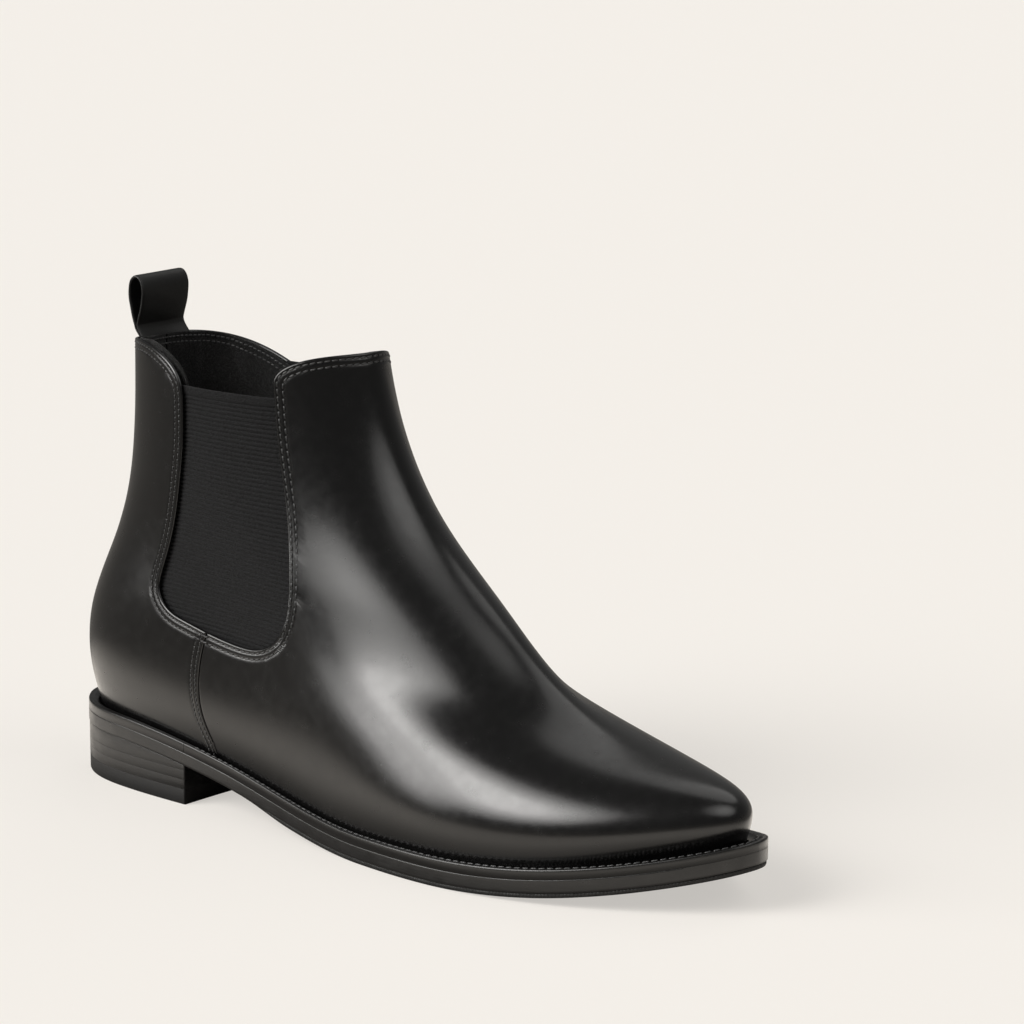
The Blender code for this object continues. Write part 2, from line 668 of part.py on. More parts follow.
def make_footbed():
    """What lies under the foot: cork and shank, insole over them, and the sock on top."""
    margin_top = WELT_THICK - UPPER_THICK
    insole_bottom = margin_top - GAP
    insole_top = insole_bottom - INSOLE_THICK
    sock_bottom = insole_top - GAP
    inside = stations(0, SOLE_LENGTH, 30, True, True)
    plate("insole", inside, inset_of(CAVITY_DEPTH + INSOLE_CLEARANCE), below_welt(insole_top),
          below_welt(insole_bottom), FIBREBOARD)
    plate("sock_liner", inside, inset_of(CAVITY_DEPTH + 2 * INSOLE_CLEARANCE),
          below_welt(sock_bottom - SOCK_THICK), below_welt(sock_bottom), BLACK_LINING)
    plate("cork_filler", stations(*CORK_REACH, 20, False, True),
          inset_of(LASTING_MARGIN + UPPER_THICK), below_welt(margin_top),
          below_welt(WELT_THICK), CORK)
    make_shank(margin_top + 0.1)


def make_shank(top_drop):
    """Flat steel spring under the arch, its top a given way below the welt's."""
    sections = []
    half = SHANK_HALF_WIDTH
    for x in np.linspace(*SHANK_REACH, 14):
        top = float(welt_height(x)) - top_drop
        low = top - SHANK_THICK
        sections.append([(x, -half, top), (x, half, top), (x, half, low), (x, -half, low)])
    loft("shank", sections, STEEL)


def around_sole(s):
    """u of the first ring and the welt's reach at s: 0 at the back, 1 at the toe, 2 at the back."""
    u = np.interp(s, (-1, 0, 1, 2), (TOE_U - 1, 0, TOE_U, 1))
    return u, welt_reach(1 - np.abs(1 - np.abs(s)))


def rim(name, s, look):
    """Welt or rand: the strip between the upper's wall and the sole's edge, along s."""
    u, reach = around_sole(s)
    near = np.full_like(u, GAP + 0.1)
    sections = np.stack([beside_welt(u, reach, 0.0), beside_welt(u, near, 0.0),
                         beside_welt(u, near, WELT_THICK), beside_welt(u, reach, WELT_THICK)], 1)
    return loft(name, sections, look)


def make_rims():
    """The welt round the forefoot and waist, and the rand round the heel seat."""
    breast = share_at(BREAST_X)
    rim("welt", np.linspace(breast + RIM_GAP, 2 - breast - RIM_GAP, 61), BLACK_WELT)
    rim("heel_seat_rand", np.linspace(RIM_GAP - breast, breast - RIM_GAP, 25), BLACK_WELT)


def share_at(x):
    """Share along the first ring at which its outer side reaches x."""
    s = np.linspace(0, 1, 400)
    return float(np.interp(x, skin(TOE_U * s, np.zeros_like(s))[:, 0], s))


def make_heel():
    """Three stacked lifts, the uppermost one a wedge, on a nailed rubber top piece."""
    x = stations(0, BREAST_X, 18, True, False)
    outsole_drop = WELT_THICK + OUTSOLE_THICK + 2 * GAP
    base = TOP_PIECE_THICK + GAP

    def reach_at(z):
        inset = HEEL_INSET + HEEL_TAPER * (1 - z / HEEL_TAPER_HEIGHT)
        return lambda share: welt_reach(share) - inset

    for number in (3, 2):
        top = base + LIFT_THICK
        plate(f"heel_lift_{number}", x, reach_at(base), lambda _, z=top: z,
              lambda _, z=base: z, STACKED_LEATHER)
        base = top + GAP
    plate("heel_lift_1", x, reach_at(base), below_welt(outsole_drop), lambda _: base,
          STACKED_LEATHER)
    top_piece = plate("heel_top_piece", x, reach_at(0.0), lambda _: TOP_PIECE_THICK,
                      lambda _: 0.0, BLACK_RUBBER)
    make_nails(top_piece)


def make_nails(top_piece):
    """The nails through the top piece, each in its own hole."""
    for number, (nail_x, nail_y) in enumerate(NAIL_PLACES, 1):
        hole = nail_cylinder(f"nail_hole_{number}", nail_x, nail_y, TOP_PIECE_THICK / 2,
                             NAIL_HOLE_RADIUS, TOP_PIECE_THICK * 2)
        CUTTERS.objects.link(hole)
        hole.hide_render = True
        hole.display_type = "WIRE"
        cut = top_piece.modifiers.new(f"hole_{number}", "BOOLEAN")
        cut.object = hole
        nail = nail_cylinder(f"heel_nail_{number}", nail_x, nail_y, TOP_PIECE_THICK / 2,
                             NAIL_RADIUS, NAIL_LENGTH)
        nail.data.materials.append(material(STEEL))
        BOOT.objects.link(nail)


def nail_cylinder(name, x, y, z, radius, length):
    """An upright cylinder about a point; it is not yet linked to a collection."""
    mesh = bpy.data.meshes.new(name)
    form = bmesh.new()
    bmesh.ops.create_cone(form, cap_ends=True, segments=12, radius1=radius * MM,
                          radius2=radius * MM, depth=length * MM)
    form.to_mesh(mesh)
    form.free()
    made = bpy.data.objects.new(name, mesh)
    made.location = to_metres((x, y, z)).tolist()
    return made


# ------------------------------------------------------------------------- the threads
def row_beside(parts, counts, outer_side, distance):
    """A row of stitching along a seam, at a distance in front of it or (negative) behind."""
    runs = [smooth_run(part, count) for part, count in zip(parts, counts)]
    line = np.concatenate([runs[0]] + [run[1:] for run in runs[1:]])
    along = np.gradient(line, axis=0)
    along /= np.linalg.norm(along, axis=1, keepdims=True)
    line = line + distance * np.stack([along[:, 1], -along[:, 0]], axis=1)
    u, v = locate(line, outer_side)
    return under_skin(u, v, np.full(u.shape, -(GAP + THREAD_RADIUS)))


def make_threads():
    """Double rows on the vamp and quarters beside the gores, and along the side seams."""
    for side, outer_side in (("lateral", True), ("medial", False)):
        for number in (1, 2):
            step = ROW_FROM_EDGE + ROW_SPACING * (number - 1)
            front = row_beside((GORE_EDGE_FRONT[1:],), (16,), outer_side, step)
            thread(f"vamp_stitching_{side}_{number}", front)
            rear = row_beside((GORE_EDGE_REAR[1:],), (16,), outer_side, -step)
            thread(f"quarter_stitching_{side}_{number}", rear)
            seam = row_beside((SIDE_SEAM_ROWS_RUN,), (6,), outer_side, -step)
            thread(f"side_seam_stitching_{side}_{number}", seam)


def make_welt_stitching():
    """The outsole stitching, lying along the middle of the welt's top."""
    start = share_at(BREAST_X + 6)
    s = np.linspace(start, 2 - start, 49)
    u, reach = around_sole(s)
    middle = (reach + GAP) / 2
    thread("welt_stitching", beside_welt(u, middle, -(GAP + THREAD_RADIUS)))


clear_scene()
BOOT = new_collection("chelsea_boot")
CUTTERS = new_collection("cutters")
make_quarters()
make_vamp()
make_gore("gore_lateral", True)
make_gore("gore_medial", False)
make_back_strip()
make_loop_ends()
make_pull_loop()
make_sole()
make_footbed()
make_rims()
make_heel()
make_threads()
make_welt_stitching()
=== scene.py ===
"""Looks of the chelsea boot: fine leather panels, ribbed elastic, stitches, welt, heel.

Lengths are in millimetres in the working frame of the CAD source (X from the rear of the
sole to the toe, Y negative on the outer side, Z up from the ground) until to_metres()
puts them into the row frame. The upper is the same smooth skin as in the CAD: u runs round
the foot from the back over the outer side, v runs up from the welt.
"""

import math

import bmesh
import bpy
import numpy as np
from mathutils import Matrix, Vector
from mathutils.geometry import delaunay_2d_cdt


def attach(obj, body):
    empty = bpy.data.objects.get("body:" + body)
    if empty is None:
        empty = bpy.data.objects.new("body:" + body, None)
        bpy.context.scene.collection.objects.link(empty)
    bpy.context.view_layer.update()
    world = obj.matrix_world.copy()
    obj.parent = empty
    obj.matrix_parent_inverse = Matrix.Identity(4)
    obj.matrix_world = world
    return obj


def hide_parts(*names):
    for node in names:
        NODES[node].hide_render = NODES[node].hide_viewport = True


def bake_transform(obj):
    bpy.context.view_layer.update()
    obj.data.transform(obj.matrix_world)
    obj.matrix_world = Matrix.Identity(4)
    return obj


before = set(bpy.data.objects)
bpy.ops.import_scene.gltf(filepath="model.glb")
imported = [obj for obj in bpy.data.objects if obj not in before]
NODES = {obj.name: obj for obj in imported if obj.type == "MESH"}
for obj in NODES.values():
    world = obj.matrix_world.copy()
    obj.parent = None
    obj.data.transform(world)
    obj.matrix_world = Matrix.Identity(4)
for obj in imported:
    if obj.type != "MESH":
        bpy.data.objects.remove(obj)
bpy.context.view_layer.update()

# ------------------------------------------------------------ dimensions shared with the CAD
MM = 0.001
GAP = 0.3
SOLE_LENGTH = 305.0
SOLE_WIDTH_OFFSET = 1.6
WELT_THICK = 3.6
OUTSOLE_THICK = 4.4
RUBBER_THICK = 1.5
SOLE_STACK = WELT_THICK + OUTSOLE_THICK + RUBBER_THICK + 2 * GAP
HEEL_SEAT_RISE = 16.4
HEEL_RAMP_TOP = 30.0
HEEL_RAMP_FOOT = 168.0
TOE_SPRING = 15.0
TOE_SPRING_START = 198.0
TOE_SPRING_POWER = 2.2
UPPER_THICK = 1.6
FILLING_ROOM = 1.4
FILLING_THICK = 1.0
LINING_THICK = 0.8
FILLING_DEPTH = UPPER_THICK + GAP
LINING_DEPTH = FILLING_DEPTH + FILLING_ROOM + GAP
COLLAR_LINING_DEPTH = UPPER_THICK + GAP
BREAST_X = 71.5
RUBBER_START_X = 96.0
TOP_PIECE_THICK = 5.7
LIFT_THICK = 3.3
HEEL_INSET = 0.2
HEEL_TAPER = 0.3
HEEL_TAPER_HEIGHT = 18.0
LOOP_WIDTH = 24.0
LOOP_TAPE = 1.1
LOOP_TOP_Z = 184.5
LOOP_BULGE = 4.0
LOOP_FOOT_RISE = 0.6
HINGE_X = 28.6
HINGE_Z = 164.4
COLLAR_BACK_Z = 162.2
NAIL_HOLE_RADIUS = 1.3
NAIL_PLACES = ((12.0, 0.0), (28.0, -19.0), (28.0, 19.0), (56.0, -20.0), (56.0, 20.0))

ALONG = (0.05, 0.17, 0.33, 0.50, 0.67, 0.83, 0.94)
RINGS = (
    ((6, 26.5), (297, 22.7), 1.00,
     (20.5, 28.5, 32, 40.5, 46, 37.5, 20), (23, 30, 30, 37, 49, 40, 21)),
    ((3, 41), (298, 32), 0.80,
     (23, 32, 34.5, 41, 47.5, 40, 23), (24.5, 33, 32, 38, 49, 41, 23.5)),
    ((3.8, 57), (290, 40.5), 0.60,
     (24.5, 33.5, 35, 40, 44, 36, 20.5), (25, 34, 33.5, 38, 44.5, 35.5, 20)),
    ((9, 74), (264, 47.5), 0.38,
     (23.5, 33.5, 34.5, 37.5, 38.5, 30, 17), (23.5, 33.5, 34, 37, 38.5, 29.5, 16)),
    ((17, 91), (226, 58), 0.20,
     (21.5, 31.5, 34, 35.5, 34.5, 26.5, 15.5), (21.5, 31.5, 34, 35.5, 34, 25.5, 14)),
    ((23, 108), (194, 80), 0.08,
     (19.5, 29.5, 33, 34.5, 32, 25, 14.5), (19.5, 29.5, 33, 34.5, 31.5, 24.5, 14)),
    ((26, 126), (162, 107), 0.0,
     (17.5, 28, 32.5, 33.5, 30.5, 24, 14), (17.5, 28, 32.5, 33.5, 30.5, 24, 14)),
    ((28, 145), (140.5, 141), 0.0,
     (17, 27, 32, 33, 30.5, 24, 14), (17, 27, 32, 33, 30.5, 24, 14)),
    ((28, 165), (132, 175), 0.0,
     (16.5, 26.5, 31.5, 33, 30.5, 23.5, 13.5), (16.5, 26.5, 31.5, 33, 30.5, 23.5, 13.5)),
)
WELT_REACH_AT = (0.0, 0.05, 0.17, 0.33, 0.50, 0.67, 0.83, 0.94, 1.0)
WELT_REACH = (6.0, 4.5, 3.0, 2.5, 3.5, 4.2, 5.0, 6.5, 8.0)
RIM_GAP = 0.0005

SEAM_JOIN = (84.5, 66.0)
SIDE_SEAM = ((85.5, 25.0), (82.0, 34.0), (80.5, 47.0), SEAM_JOIN)
GORE_FOOT_REAR = (SEAM_JOIN, (74.0, 68.5), (64.7, 71.9), (60.2, 78.0))
GORE_REAR = ((61.4, 86.0), (65.0, 98.0), (69.0, 117.0), (71.2, 133.0), (71.2, 149.0))
GORE_FOOT_FRONT = (SEAM_JOIN, (100.0, 63.8), (112.0, 65.0), (120.0, 71.0), (123.2, 80.0))
GORE_FRONT = ((122.7, 93.0), (118.3, 114.0), (112.8, 137.0), (109.8, 157.0))
GORE_EDGE_REAR = GORE_FOOT_REAR + GORE_REAR
GORE_EDGE_FRONT = GORE_FOOT_FRONT + GORE_FRONT
GORE_TOP_Z = 152.5
GORE_UNDERLAP = 7.0
GORE_LOWEST = (62.0, 57.5)
VAMP_CREST_V = 0.972
VAMP_COLLARS = ((3.0, 0.45), (1.6, 1.0))
QUARTER_COLLARS = {True: (4.0, 0.4, 0.012), False: (2.0, 1.1, 0.0)}
BACK_SEAM_HALF_U = 0.0007

# ------------------------------------------------------------ detail sizes, mm
ROW_FROM_EDGE = 1.5            # first row of stitches from a panel's edge
ROW_SPACING = 2.1
VAMP_PITCH = 2.6
QUARTER_PITCH = 2.0
SEAM_PITCH = 1.8
WELT_PITCH = 3.0
THREAD_RADIUS = 0.36
FINE_THREAD_RADIUS = THREAD_RADIUS * 0.85
STITCH_GROOVE = 0.24           # how far a row of stitches pulls the leather in
RIB_PITCH = 1.55
RIB_DEPTH = 0.42
SELVEDGE = 3.2                 # plain band along the gore's top
LINING_ROW_V = 0.84            # the inner side shows its rows of stitches above this v
LOOP_END_Z = 142.0             # lower ends of the pull loop's tape, sewn in under the leather
SEWN_TAPE = 0.62               # the tape's thickness there
LOOP_SPAN_U = 0.072            # the tape's width as a share of the way round
TAPE_DEPTH = FILLING_DEPTH + 0.68
TAPE_TOP_V = 0.97
BACK_STRIP_HALF_U = 0.0088
BACK_STRIP_LOW_V = 0.30
BACK_STRIP_THICK = 0.85


# ------------------------------------------------------------ the skin, as in the CAD
def ease(t):
    t = np.clip(t, 0.0, 1.0)
    return t * t * (3.0 - 2.0 * t)


def welt_height(x):
    heel = HEEL_SEAT_RISE * ease((HEEL_RAMP_FOOT - x) / (HEEL_RAMP_FOOT - HEEL_RAMP_TOP))
    run = np.clip((x - TOE_SPRING_START) / (SOLE_LENGTH - TOE_SPRING_START), 0.0, None)
    return SOLE_STACK + heel + TOE_SPRING * run ** TOE_SPRING_POWER


def spline_weights(knots, at, closed=False):
    """Weight of each knot's value at each place, for a natural or a closed cubic spline."""
    knots = np.asarray(knots, float)
    at = np.asarray(at, float)
    count = len(knots)
    step = np.diff(knots)
    system = np.zeros((count, count))
    change = np.zeros((count, count))
    for i in range(1, count - 1):
        system[i, i - 1:i + 2] = step[i - 1], 2 * (step[i - 1] + step[i]), step[i]
        change[i, i - 1:i + 2] = 1 / step[i - 1], -1 / step[i - 1] - 1 / step[i], 1 / step[i]
    if closed:
        system[0, [0, 1, -2]] = 2 * (step[0] + step[-1]), step[0], step[-1]
        system[-1, [0, -1]] = 1, -1
        change[0, [0, 1]] = -1 / step[0], 1 / step[0]
        change[0, [-2, -1]] = 1 / step[-1], -1 / step[-1]
    else:
        system[0, 0] = 1
        system[-1, -1] = 1
    bend = np.linalg.solve(system, 6 * change)
    i = np.clip(np.searchsorted(knots, at, side="right") - 1, 0, count - 2)
    width = step[i]
    far = (at - knots[i]) / width
    near = 1 - far
    value = np.eye(count)
    weights = near[:, None] * value[i] + far[:, None] * value[i + 1]
    weights += ((near ** 3 - near) * width ** 2 / 6)[:, None] * bend[i]
    weights += ((far ** 3 - far) * width ** 2 / 6)[:, None] * bend[i + 1]
    if closed:
        weights[:, 0] += weights[:, -1]
        weights = weights[:, :-1]
    return weights


def ring_points():
    """Points of every ring: back, outer side, toe, inner side."""
    share = np.array((0.0,) + ALONG + (1.0,) + ALONG[::-1])
    (back_x, back_z), (front_x, front_z) = RINGS[0][:2]
    rings = []
    for (rear_x, rear_z), (fore_x, fore_z), follow, outer, inner in RINGS:
        x = rear_x + share * (fore_x - rear_x)
        chord = back_z + (front_z - back_z) * (x - back_x) / (front_x - back_x)
        z = rear_z + share * (fore_z - rear_z) + follow * (welt_height(x) - chord)
        y = np.array((0.0,) + tuple(-w for w in outer) + (0.0,) + inner[::-1])
        rings.append(np.stack([x, y, z], axis=1))
    return np.array(rings)


def mean_spacing(lengths):
    shares = (lengths / lengths.sum(axis=1, keepdims=True)).mean(axis=0)
    return np.concatenate([[0.0], np.cumsum(shares)])


CONTROLS = ring_points()
AROUND = np.concatenate([CONTROLS, CONTROLS[:, :1]], axis=1)
U_KNOTS = mean_spacing(np.linalg.norm(np.diff(AROUND, axis=1), axis=2))
V_KNOTS = mean_spacing(np.linalg.norm(np.diff(CONTROLS, axis=0), axis=2).T)
TOE_U = U_KNOTS[len(ALONG) + 1]


def skin(u, v):
    u, v = np.broadcast_arrays(np.asarray(u, float), np.asarray(v, float))
    around = spline_weights(U_KNOTS, u.ravel() % 1.0, closed=True)
    upward = spline_weights(V_KNOTS, v.ravel())
    points = np.einsum("ki,kj,ijc->kc", upward, around, CONTROLS)
    return points.reshape(u.shape + (3,))


def unit(vectors):
    return vectors / np.linalg.norm(vectors, axis=-1, keepdims=True)


def skin_slopes(u, v):
    """How the skin's points move with u and with v."""
    h = 1e-4
    by_u = (skin(u + h, v) - skin(u - h, v)) / (2 * h)
    by_v = (skin(u, v + h) - skin(u, v - h)) / (2 * h)
    return by_u, by_v


def skin_normal(u, v):
    return unit(np.cross(*skin_slopes(u, v)))


def under_skin(u, v, depth):
    return skin(u, v) - np.asarray(depth)[..., None] * skin_normal(u, v)


def level_normal(u):
    h = 1e-4
    run = skin(u + h, np.zeros_like(u)) - skin(u - h, np.zeros_like(u))
    return unit(np.stack([run[..., 1], -run[..., 0], np.zeros_like(u)], axis=-1))


def beside_welt(u, outward, below):
    """Points level with the first ring, moved outward and a given way below the welt's top."""
    u = np.asarray(u, float)
    points = skin(u, np.zeros_like(u)) + np.asarray(outward)[..., None] * level_normal(u)
    points[..., 2] = welt_height(points[..., 0]) - below
    return points


def locate(side_points, outer_side):
    """u and v of the skin points that show at the given (x, z) from one side."""
    target = np.asarray(side_points, float)
    share = np.clip((target[:, 0] - 5) / 290, 0.02, 0.98)
    u = TOE_U * share if outer_side else 1 - (1 - TOE_U) * share
    v = np.full(len(target), 0.4)
    h = 1e-4
    for _ in range(40):
        here = skin(u, v)[:, [0, 2]]
        by_u = (skin(u + h, v)[:, [0, 2]] - here) / h
        by_v = (skin(u, v + h)[:, [0, 2]] - here) / h
        miss = target - here
        area = by_u[:, 0] * by_v[:, 1] - by_u[:, 1] * by_v[:, 0]
        u_step = (miss[:, 0] * by_v[:, 1] - miss[:, 1] * by_v[:, 0]) / area
        v_step = (by_u[:, 0] * miss[:, 1] - by_u[:, 1] * miss[:, 0]) / area
        u = u + np.clip(u_step, -0.05, 0.05)
        v = v + np.clip(v_step, -0.1, 0.1)
    return u, v


def smooth_run(points, count):
    points = np.asarray(points, float)
    knots = np.concatenate([[0.0], np.cumsum(np.linalg.norm(np.diff(points, axis=0), axis=1))])
    return spline_weights(knots, np.linspace(0, knots[-1], count + 1)) @ points


def collar_back_v():
    v = np.linspace(0.8, 1.0, 201)
    heights = skin(np.zeros_like(v), v)[:, 2]
    return float(np.interp(COLLAR_BACK_Z, heights, v))


def lining_depth(u, v):
    """The lining hugs the leather at the collar and makes room elsewhere for the fillings."""
    from_back = np.minimum(u, 1 - u)
    gore_zone = ease((from_back - 0.085) / 0.03) * ease((0.42 - from_back) / 0.03)
    loop_zone = ease((0.06 - from_back) / 0.02)
    below_collar = 1 - ease((v - 0.82) / 0.12)
    room = np.maximum(np.maximum(gore_zone, loop_zone), below_collar)
    return COLLAR_LINING_DEPTH + (LINING_DEPTH - COLLAR_LINING_DEPTH) * room


def welt_reach(share):
    return np.interp(share, WELT_REACH_AT, WELT_REACH)


def to_metres(points):
    return (np.asarray(points, float) - (SOLE_LENGTH / 2, SOLE_WIDTH_OFFSET, 0.0)) * MM


# ------------------------------------------------------------ materials
def new_material(name, colour, roughness, **sockets):
    """A Principled material; sockets are further inputs, named with _ for spaces."""
    made = bpy.data.materials.new(name)
    made.use_nodes = True
    shader = made.node_tree.nodes["Principled BSDF"]
    shader.inputs["Base Color"].default_value = (*colour, 1.0)
    shader.inputs["Roughness"].default_value = roughness
    for socket, value in sockets.items():
        shader.inputs[socket.replace("_", " ")].default_value = value
    made.diffuse_color = (*colour, 1.0)
    return made


def add_node(material, kind, links=(), **settings):
    """A node whose named inputs take the given values or the outputs of other nodes."""
    node = material.node_tree.nodes.new(kind)
    for key, value in settings.items():
        setattr(node, key, value)
    for socket, value in dict(links).items():
        if isinstance(value, bpy.types.NodeSocket):
            material.node_tree.links.new(value, node.inputs[socket])
        else:
            node.inputs[socket].default_value = value
    return node


def place_of(material, stretch=(1, 1, 1)):
    """The point's place in the boot, in mm, stretched."""
    where = add_node(material, "ShaderNodeTexCoord")
    scaled = add_node(material, "ShaderNodeMapping", {"Vector": where.outputs["Object"]})
    scaled.inputs["Scale"].default_value = [s / MM for s in stretch]
    return scaled.outputs["Vector"]


def noise(material, size, detail=2.0, stretch=(1, 1, 1), rough=0.5):
    made = add_node(material, "ShaderNodeTexNoise", {
        "Vector": place_of(material, stretch), "Scale": 1 / size, "Detail": detail,
        "Roughness": rough})
    return made.outputs["Fac"]


def cells(material, size, feature="SMOOTH_F1", stretch=(1, 1, 1)):
    made = add_node(material, "ShaderNodeTexVoronoi", {
        "Vector": place_of(material, stretch), "Scale": 1 / size}, feature=feature)
    return made.outputs["Distance"]


def between(material, factor, low, high, start=0.3, end=0.7):
    """A number from low to high as factor runs from start to end."""
    made = add_node(material, "ShaderNodeMapRange", {
        "Value": factor, "From Min": start, "From Max": end, "To Min": low, "To Max": high})
    return made.outputs["Result"]


def blend_colours(material, factor, low, high):
    made = add_node(material, "ShaderNodeMix", {"Factor": factor}, data_type="RGBA")
    for socket, colour in (("A", low), ("B", high)):
        for entry in made.inputs:
            if entry.name == socket and entry.type == "RGBA":
                entry.default_value = (*colour, 1.0)
    return next(out for out in made.outputs if out.type == "RGBA")


def feed(material, socket, value):
    shader = material.node_tree.nodes["Principled BSDF"]
    material.node_tree.links.new(value, shader.inputs[socket])


def add_bumps(material, *layers):
    """Bumps of (height, distance in mm, strength), each on top of the one before."""
    normal = None
    for height, distance, strength in layers:
        links = {"Height": height, "Distance": distance * MM, "Strength": strength}
        if normal is not None:
            links["Normal"] = normal
        normal = add_node(material, "ShaderNodeBump", links).outputs["Normal"]
    feed(material, "Normal", normal)


def leather(name, colour, roughness, grain, coat):
    """Smooth finished leather: even fine grain under a thin polish."""
    made = new_material(name, colour, roughness, Coat_Weight=coat, Coat_Roughness=0.18,
                        Specular_IOR_Level=0.5)
    feed(made, "Roughness", between(made, noise(made, 4.0, 3.0), roughness - 0.03,
                                    roughness + 0.04))
    lighter = tuple(c * 1.35 for c in colour)
    feed(made, "Base Color", blend_colours(made, noise(made, 1.2, 3.0), colour, lighter))
    add_bumps(made, (noise(made, 2.4, 2.0), 0.08, grain * 0.35),
              (cells(made, 0.62), 0.06, grain), (noise(made, 0.34, 2.0), 0.035, grain))
    return made


def suede(name, colour):
    """Napped lining: short crinkled fibres whose tips are paler."""
    made = new_material(name, colour, 0.92, Sheen_Weight=0.12, Sheen_Roughness=0.5,
                        Specular_IOR_Level=0.2)
    made.node_tree.nodes["Principled BSDF"].inputs["Sheen Tint"].default_value = (1, 1, 1, 1)
    crinkle = noise(made, 2.0, 6.0, stretch=(0.7, 0.7, 1.5), rough=0.72)
    tips = between(made, noise(made, 0.55, 3.0, rough=0.75), 0.0, 1.0, 0.48, 0.66)
    feed(made, "Base Color", blend_colours(made, tips, colour, tuple(c * 5.5 for c in colour)))
    add_bumps(made, (crinkle, 1.1, 0.9), (noise(made, 0.6, 3.0, rough=0.7), 0.4, 1.0))
    return made


def elastic(name, colour):
    """Ribbed webbing: tiny knitted loops run along every rib."""
    made = new_material(name, colour, 0.85, Sheen_Weight=0.04, Sheen_Roughness=0.4,
                        Specular_IOR_Level=0.3)
    loops = cells(made, 0.62, stretch=(1.0, 1.0, 1.5))
    feed(made, "Base Color", blend_colours(made, between(made, loops, 0.0, 1.0, 0.1, 0.6),
                                           tuple(c * 1.8 for c in colour),
                                           tuple(c * 0.35 for c in colour)))
    add_bumps(made, (loops, 0.3, 0.9), (noise(made, 0.3, 3.0), 0.15, 0.6))
    return made


def thread_look(name, colour):
    made = new_material(name, colour, 0.30, Coat_Weight=0.5, Coat_Roughness=0.2)
    twist = add_node(made, "ShaderNodeTexWave", {
        "Vector": place_of(made, (1, 1, 1)), "Scale": 1.6, "Distortion": 1.5})
    feed(made, "Base Color", blend_colours(made, noise(made, 0.6, 2.0), colour,
                                           tuple(c * 1.8 for c in colour)))
    add_bumps(made, (twist.outputs["Fac"], 0.06, 0.6))
    return made


def stack_look(name, colour, roughness):
    """Leather layers, dyed and waxed: fine level streaks, a little unevenly polished."""
    made = new_material(name, colour, roughness, Coat_Weight=0.25, Coat_Roughness=0.3)
    streaks = noise(made, 1.6, 4.0, stretch=(0.06, 0.06, 1.4), rough=0.6)
    feed(made, "Roughness", between(made, noise(made, 6.0, 3.0), roughness - 0.07, roughness + 0.1))
    feed(made, "Base Color", blend_colours(made, streaks, colour, tuple(c * 2.1 for c in colour)))
    add_bumps(made, (streaks, 0.12, 0.45), (noise(made, 0.5, 3.0), 0.05, 0.5))
    return made


def rubber_look(name, colour):
    made = new_material(name, colour, 0.6, Specular_IOR_Level=0.45)
    feed(made, "Base Color", blend_colours(made, noise(made, 5.0, 4.0), colour,
                                           tuple(c * 1.5 for c in colour)))
    add_bumps(made, (noise(made, 0.4, 3.0), 0.06, 0.6))
    return made


def board_look(name, colour, size):
    """Fibreboard, cork or stiffener: speckled and matte."""
    made = new_material(name, colour, 0.88)
    specks = cells(made, size, "F1")
    feed(made, "Base Color", blend_colours(made, specks, tuple(c * 0.55 for c in colour), colour))
    add_bumps(made, (specks, 0.3, 0.6), (noise(made, size / 3, 3.0), 0.1, 0.5))
    return made


def steel_look(name):
    made = new_material(name, (0.55, 0.56, 0.58), 0.34, Metallic=1.0)
    feed(made, "Roughness", between(made, noise(made, 1.5, 4.0, (8, 1, 1)), 0.26, 0.46))
    add_bumps(made, (noise(made, 0.4, 3.0, (0.1, 1, 1)), 0.03, 0.4))
    return made


CALF = leather("black_calf", (0.0018, 0.0017, 0.0017), 0.235, 0.15, 0.25)
WELT = leather("black_welt", (0.0032, 0.0030, 0.0028), 0.32, 0.45, 0.2)
SUEDE = suede("black_lining", (0.0040, 0.0039, 0.0038))
SOCK = leather("black_lining_sock", (0.012, 0.0115, 0.011), 0.55, 0.6, 0.0)
ELASTIC = elastic("black_elastic", (0.0040, 0.0040, 0.0045))
TAPE = leather("black_tape", (0.0045, 0.0045, 0.0043), 0.50, 0.7, 0.0)
THREAD = thread_look("black_thread", (0.016, 0.016, 0.0165))
STACK = stack_look("stacked_leather", (0.0034, 0.0032, 0.0030), 0.34)
RUBBER = rubber_look("black_rubber", (0.0055, 0.0052, 0.0050))
FIBREBOARD = board_look("fibreboard", (0.36, 0.25, 0.15), 1.2)
CORK = board_look("cork", (0.42, 0.27, 0.14), 2.4)
STIFFENER = board_look("stiffener", (0.55, 0.47, 0.36), 0.8)
STEEL = steel_look("steel")


# ------------------------------------------------------------ meshes
def add_piece(name, points, faces, material, stands_for=(), body="boot"):
    """A smooth mesh in the row frame that rides on a body and stands for CAD nodes."""
    mesh = bpy.data.meshes.new(name)
    mesh.from_pydata(to_metres(points).tolist(), [], [tuple(face) for face in faces])
    form = bmesh.new()
    form.from_mesh(mesh)
    bmesh.ops.remove_doubles(form, verts=form.verts, dist=1e-6)
    bmesh.ops.recalc_face_normals(form, faces=form.faces)
    form.to_mesh(mesh)
    form.free()
    mesh.shade_smooth()
    mesh.materials.append(material)
    made = bpy.data.objects.new(name, mesh)
    bpy.context.scene.collection.objects.link(made)
    if body:
        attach(made, body)
    if stands_for:
        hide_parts(*stands_for)
    return made


def grid_faces(rows, columns, closed_columns=False):
    """Quads of a grid of points held row by row."""
    faces = []
    for i in range(rows - 1):
        for j in range(columns if closed_columns else columns - 1):
            j_next = (j + 1) % columns
            faces.append((i * columns + j, i * columns + j_next,
                          (i + 1) * columns + j_next, (i + 1) * columns + j))
    return faces


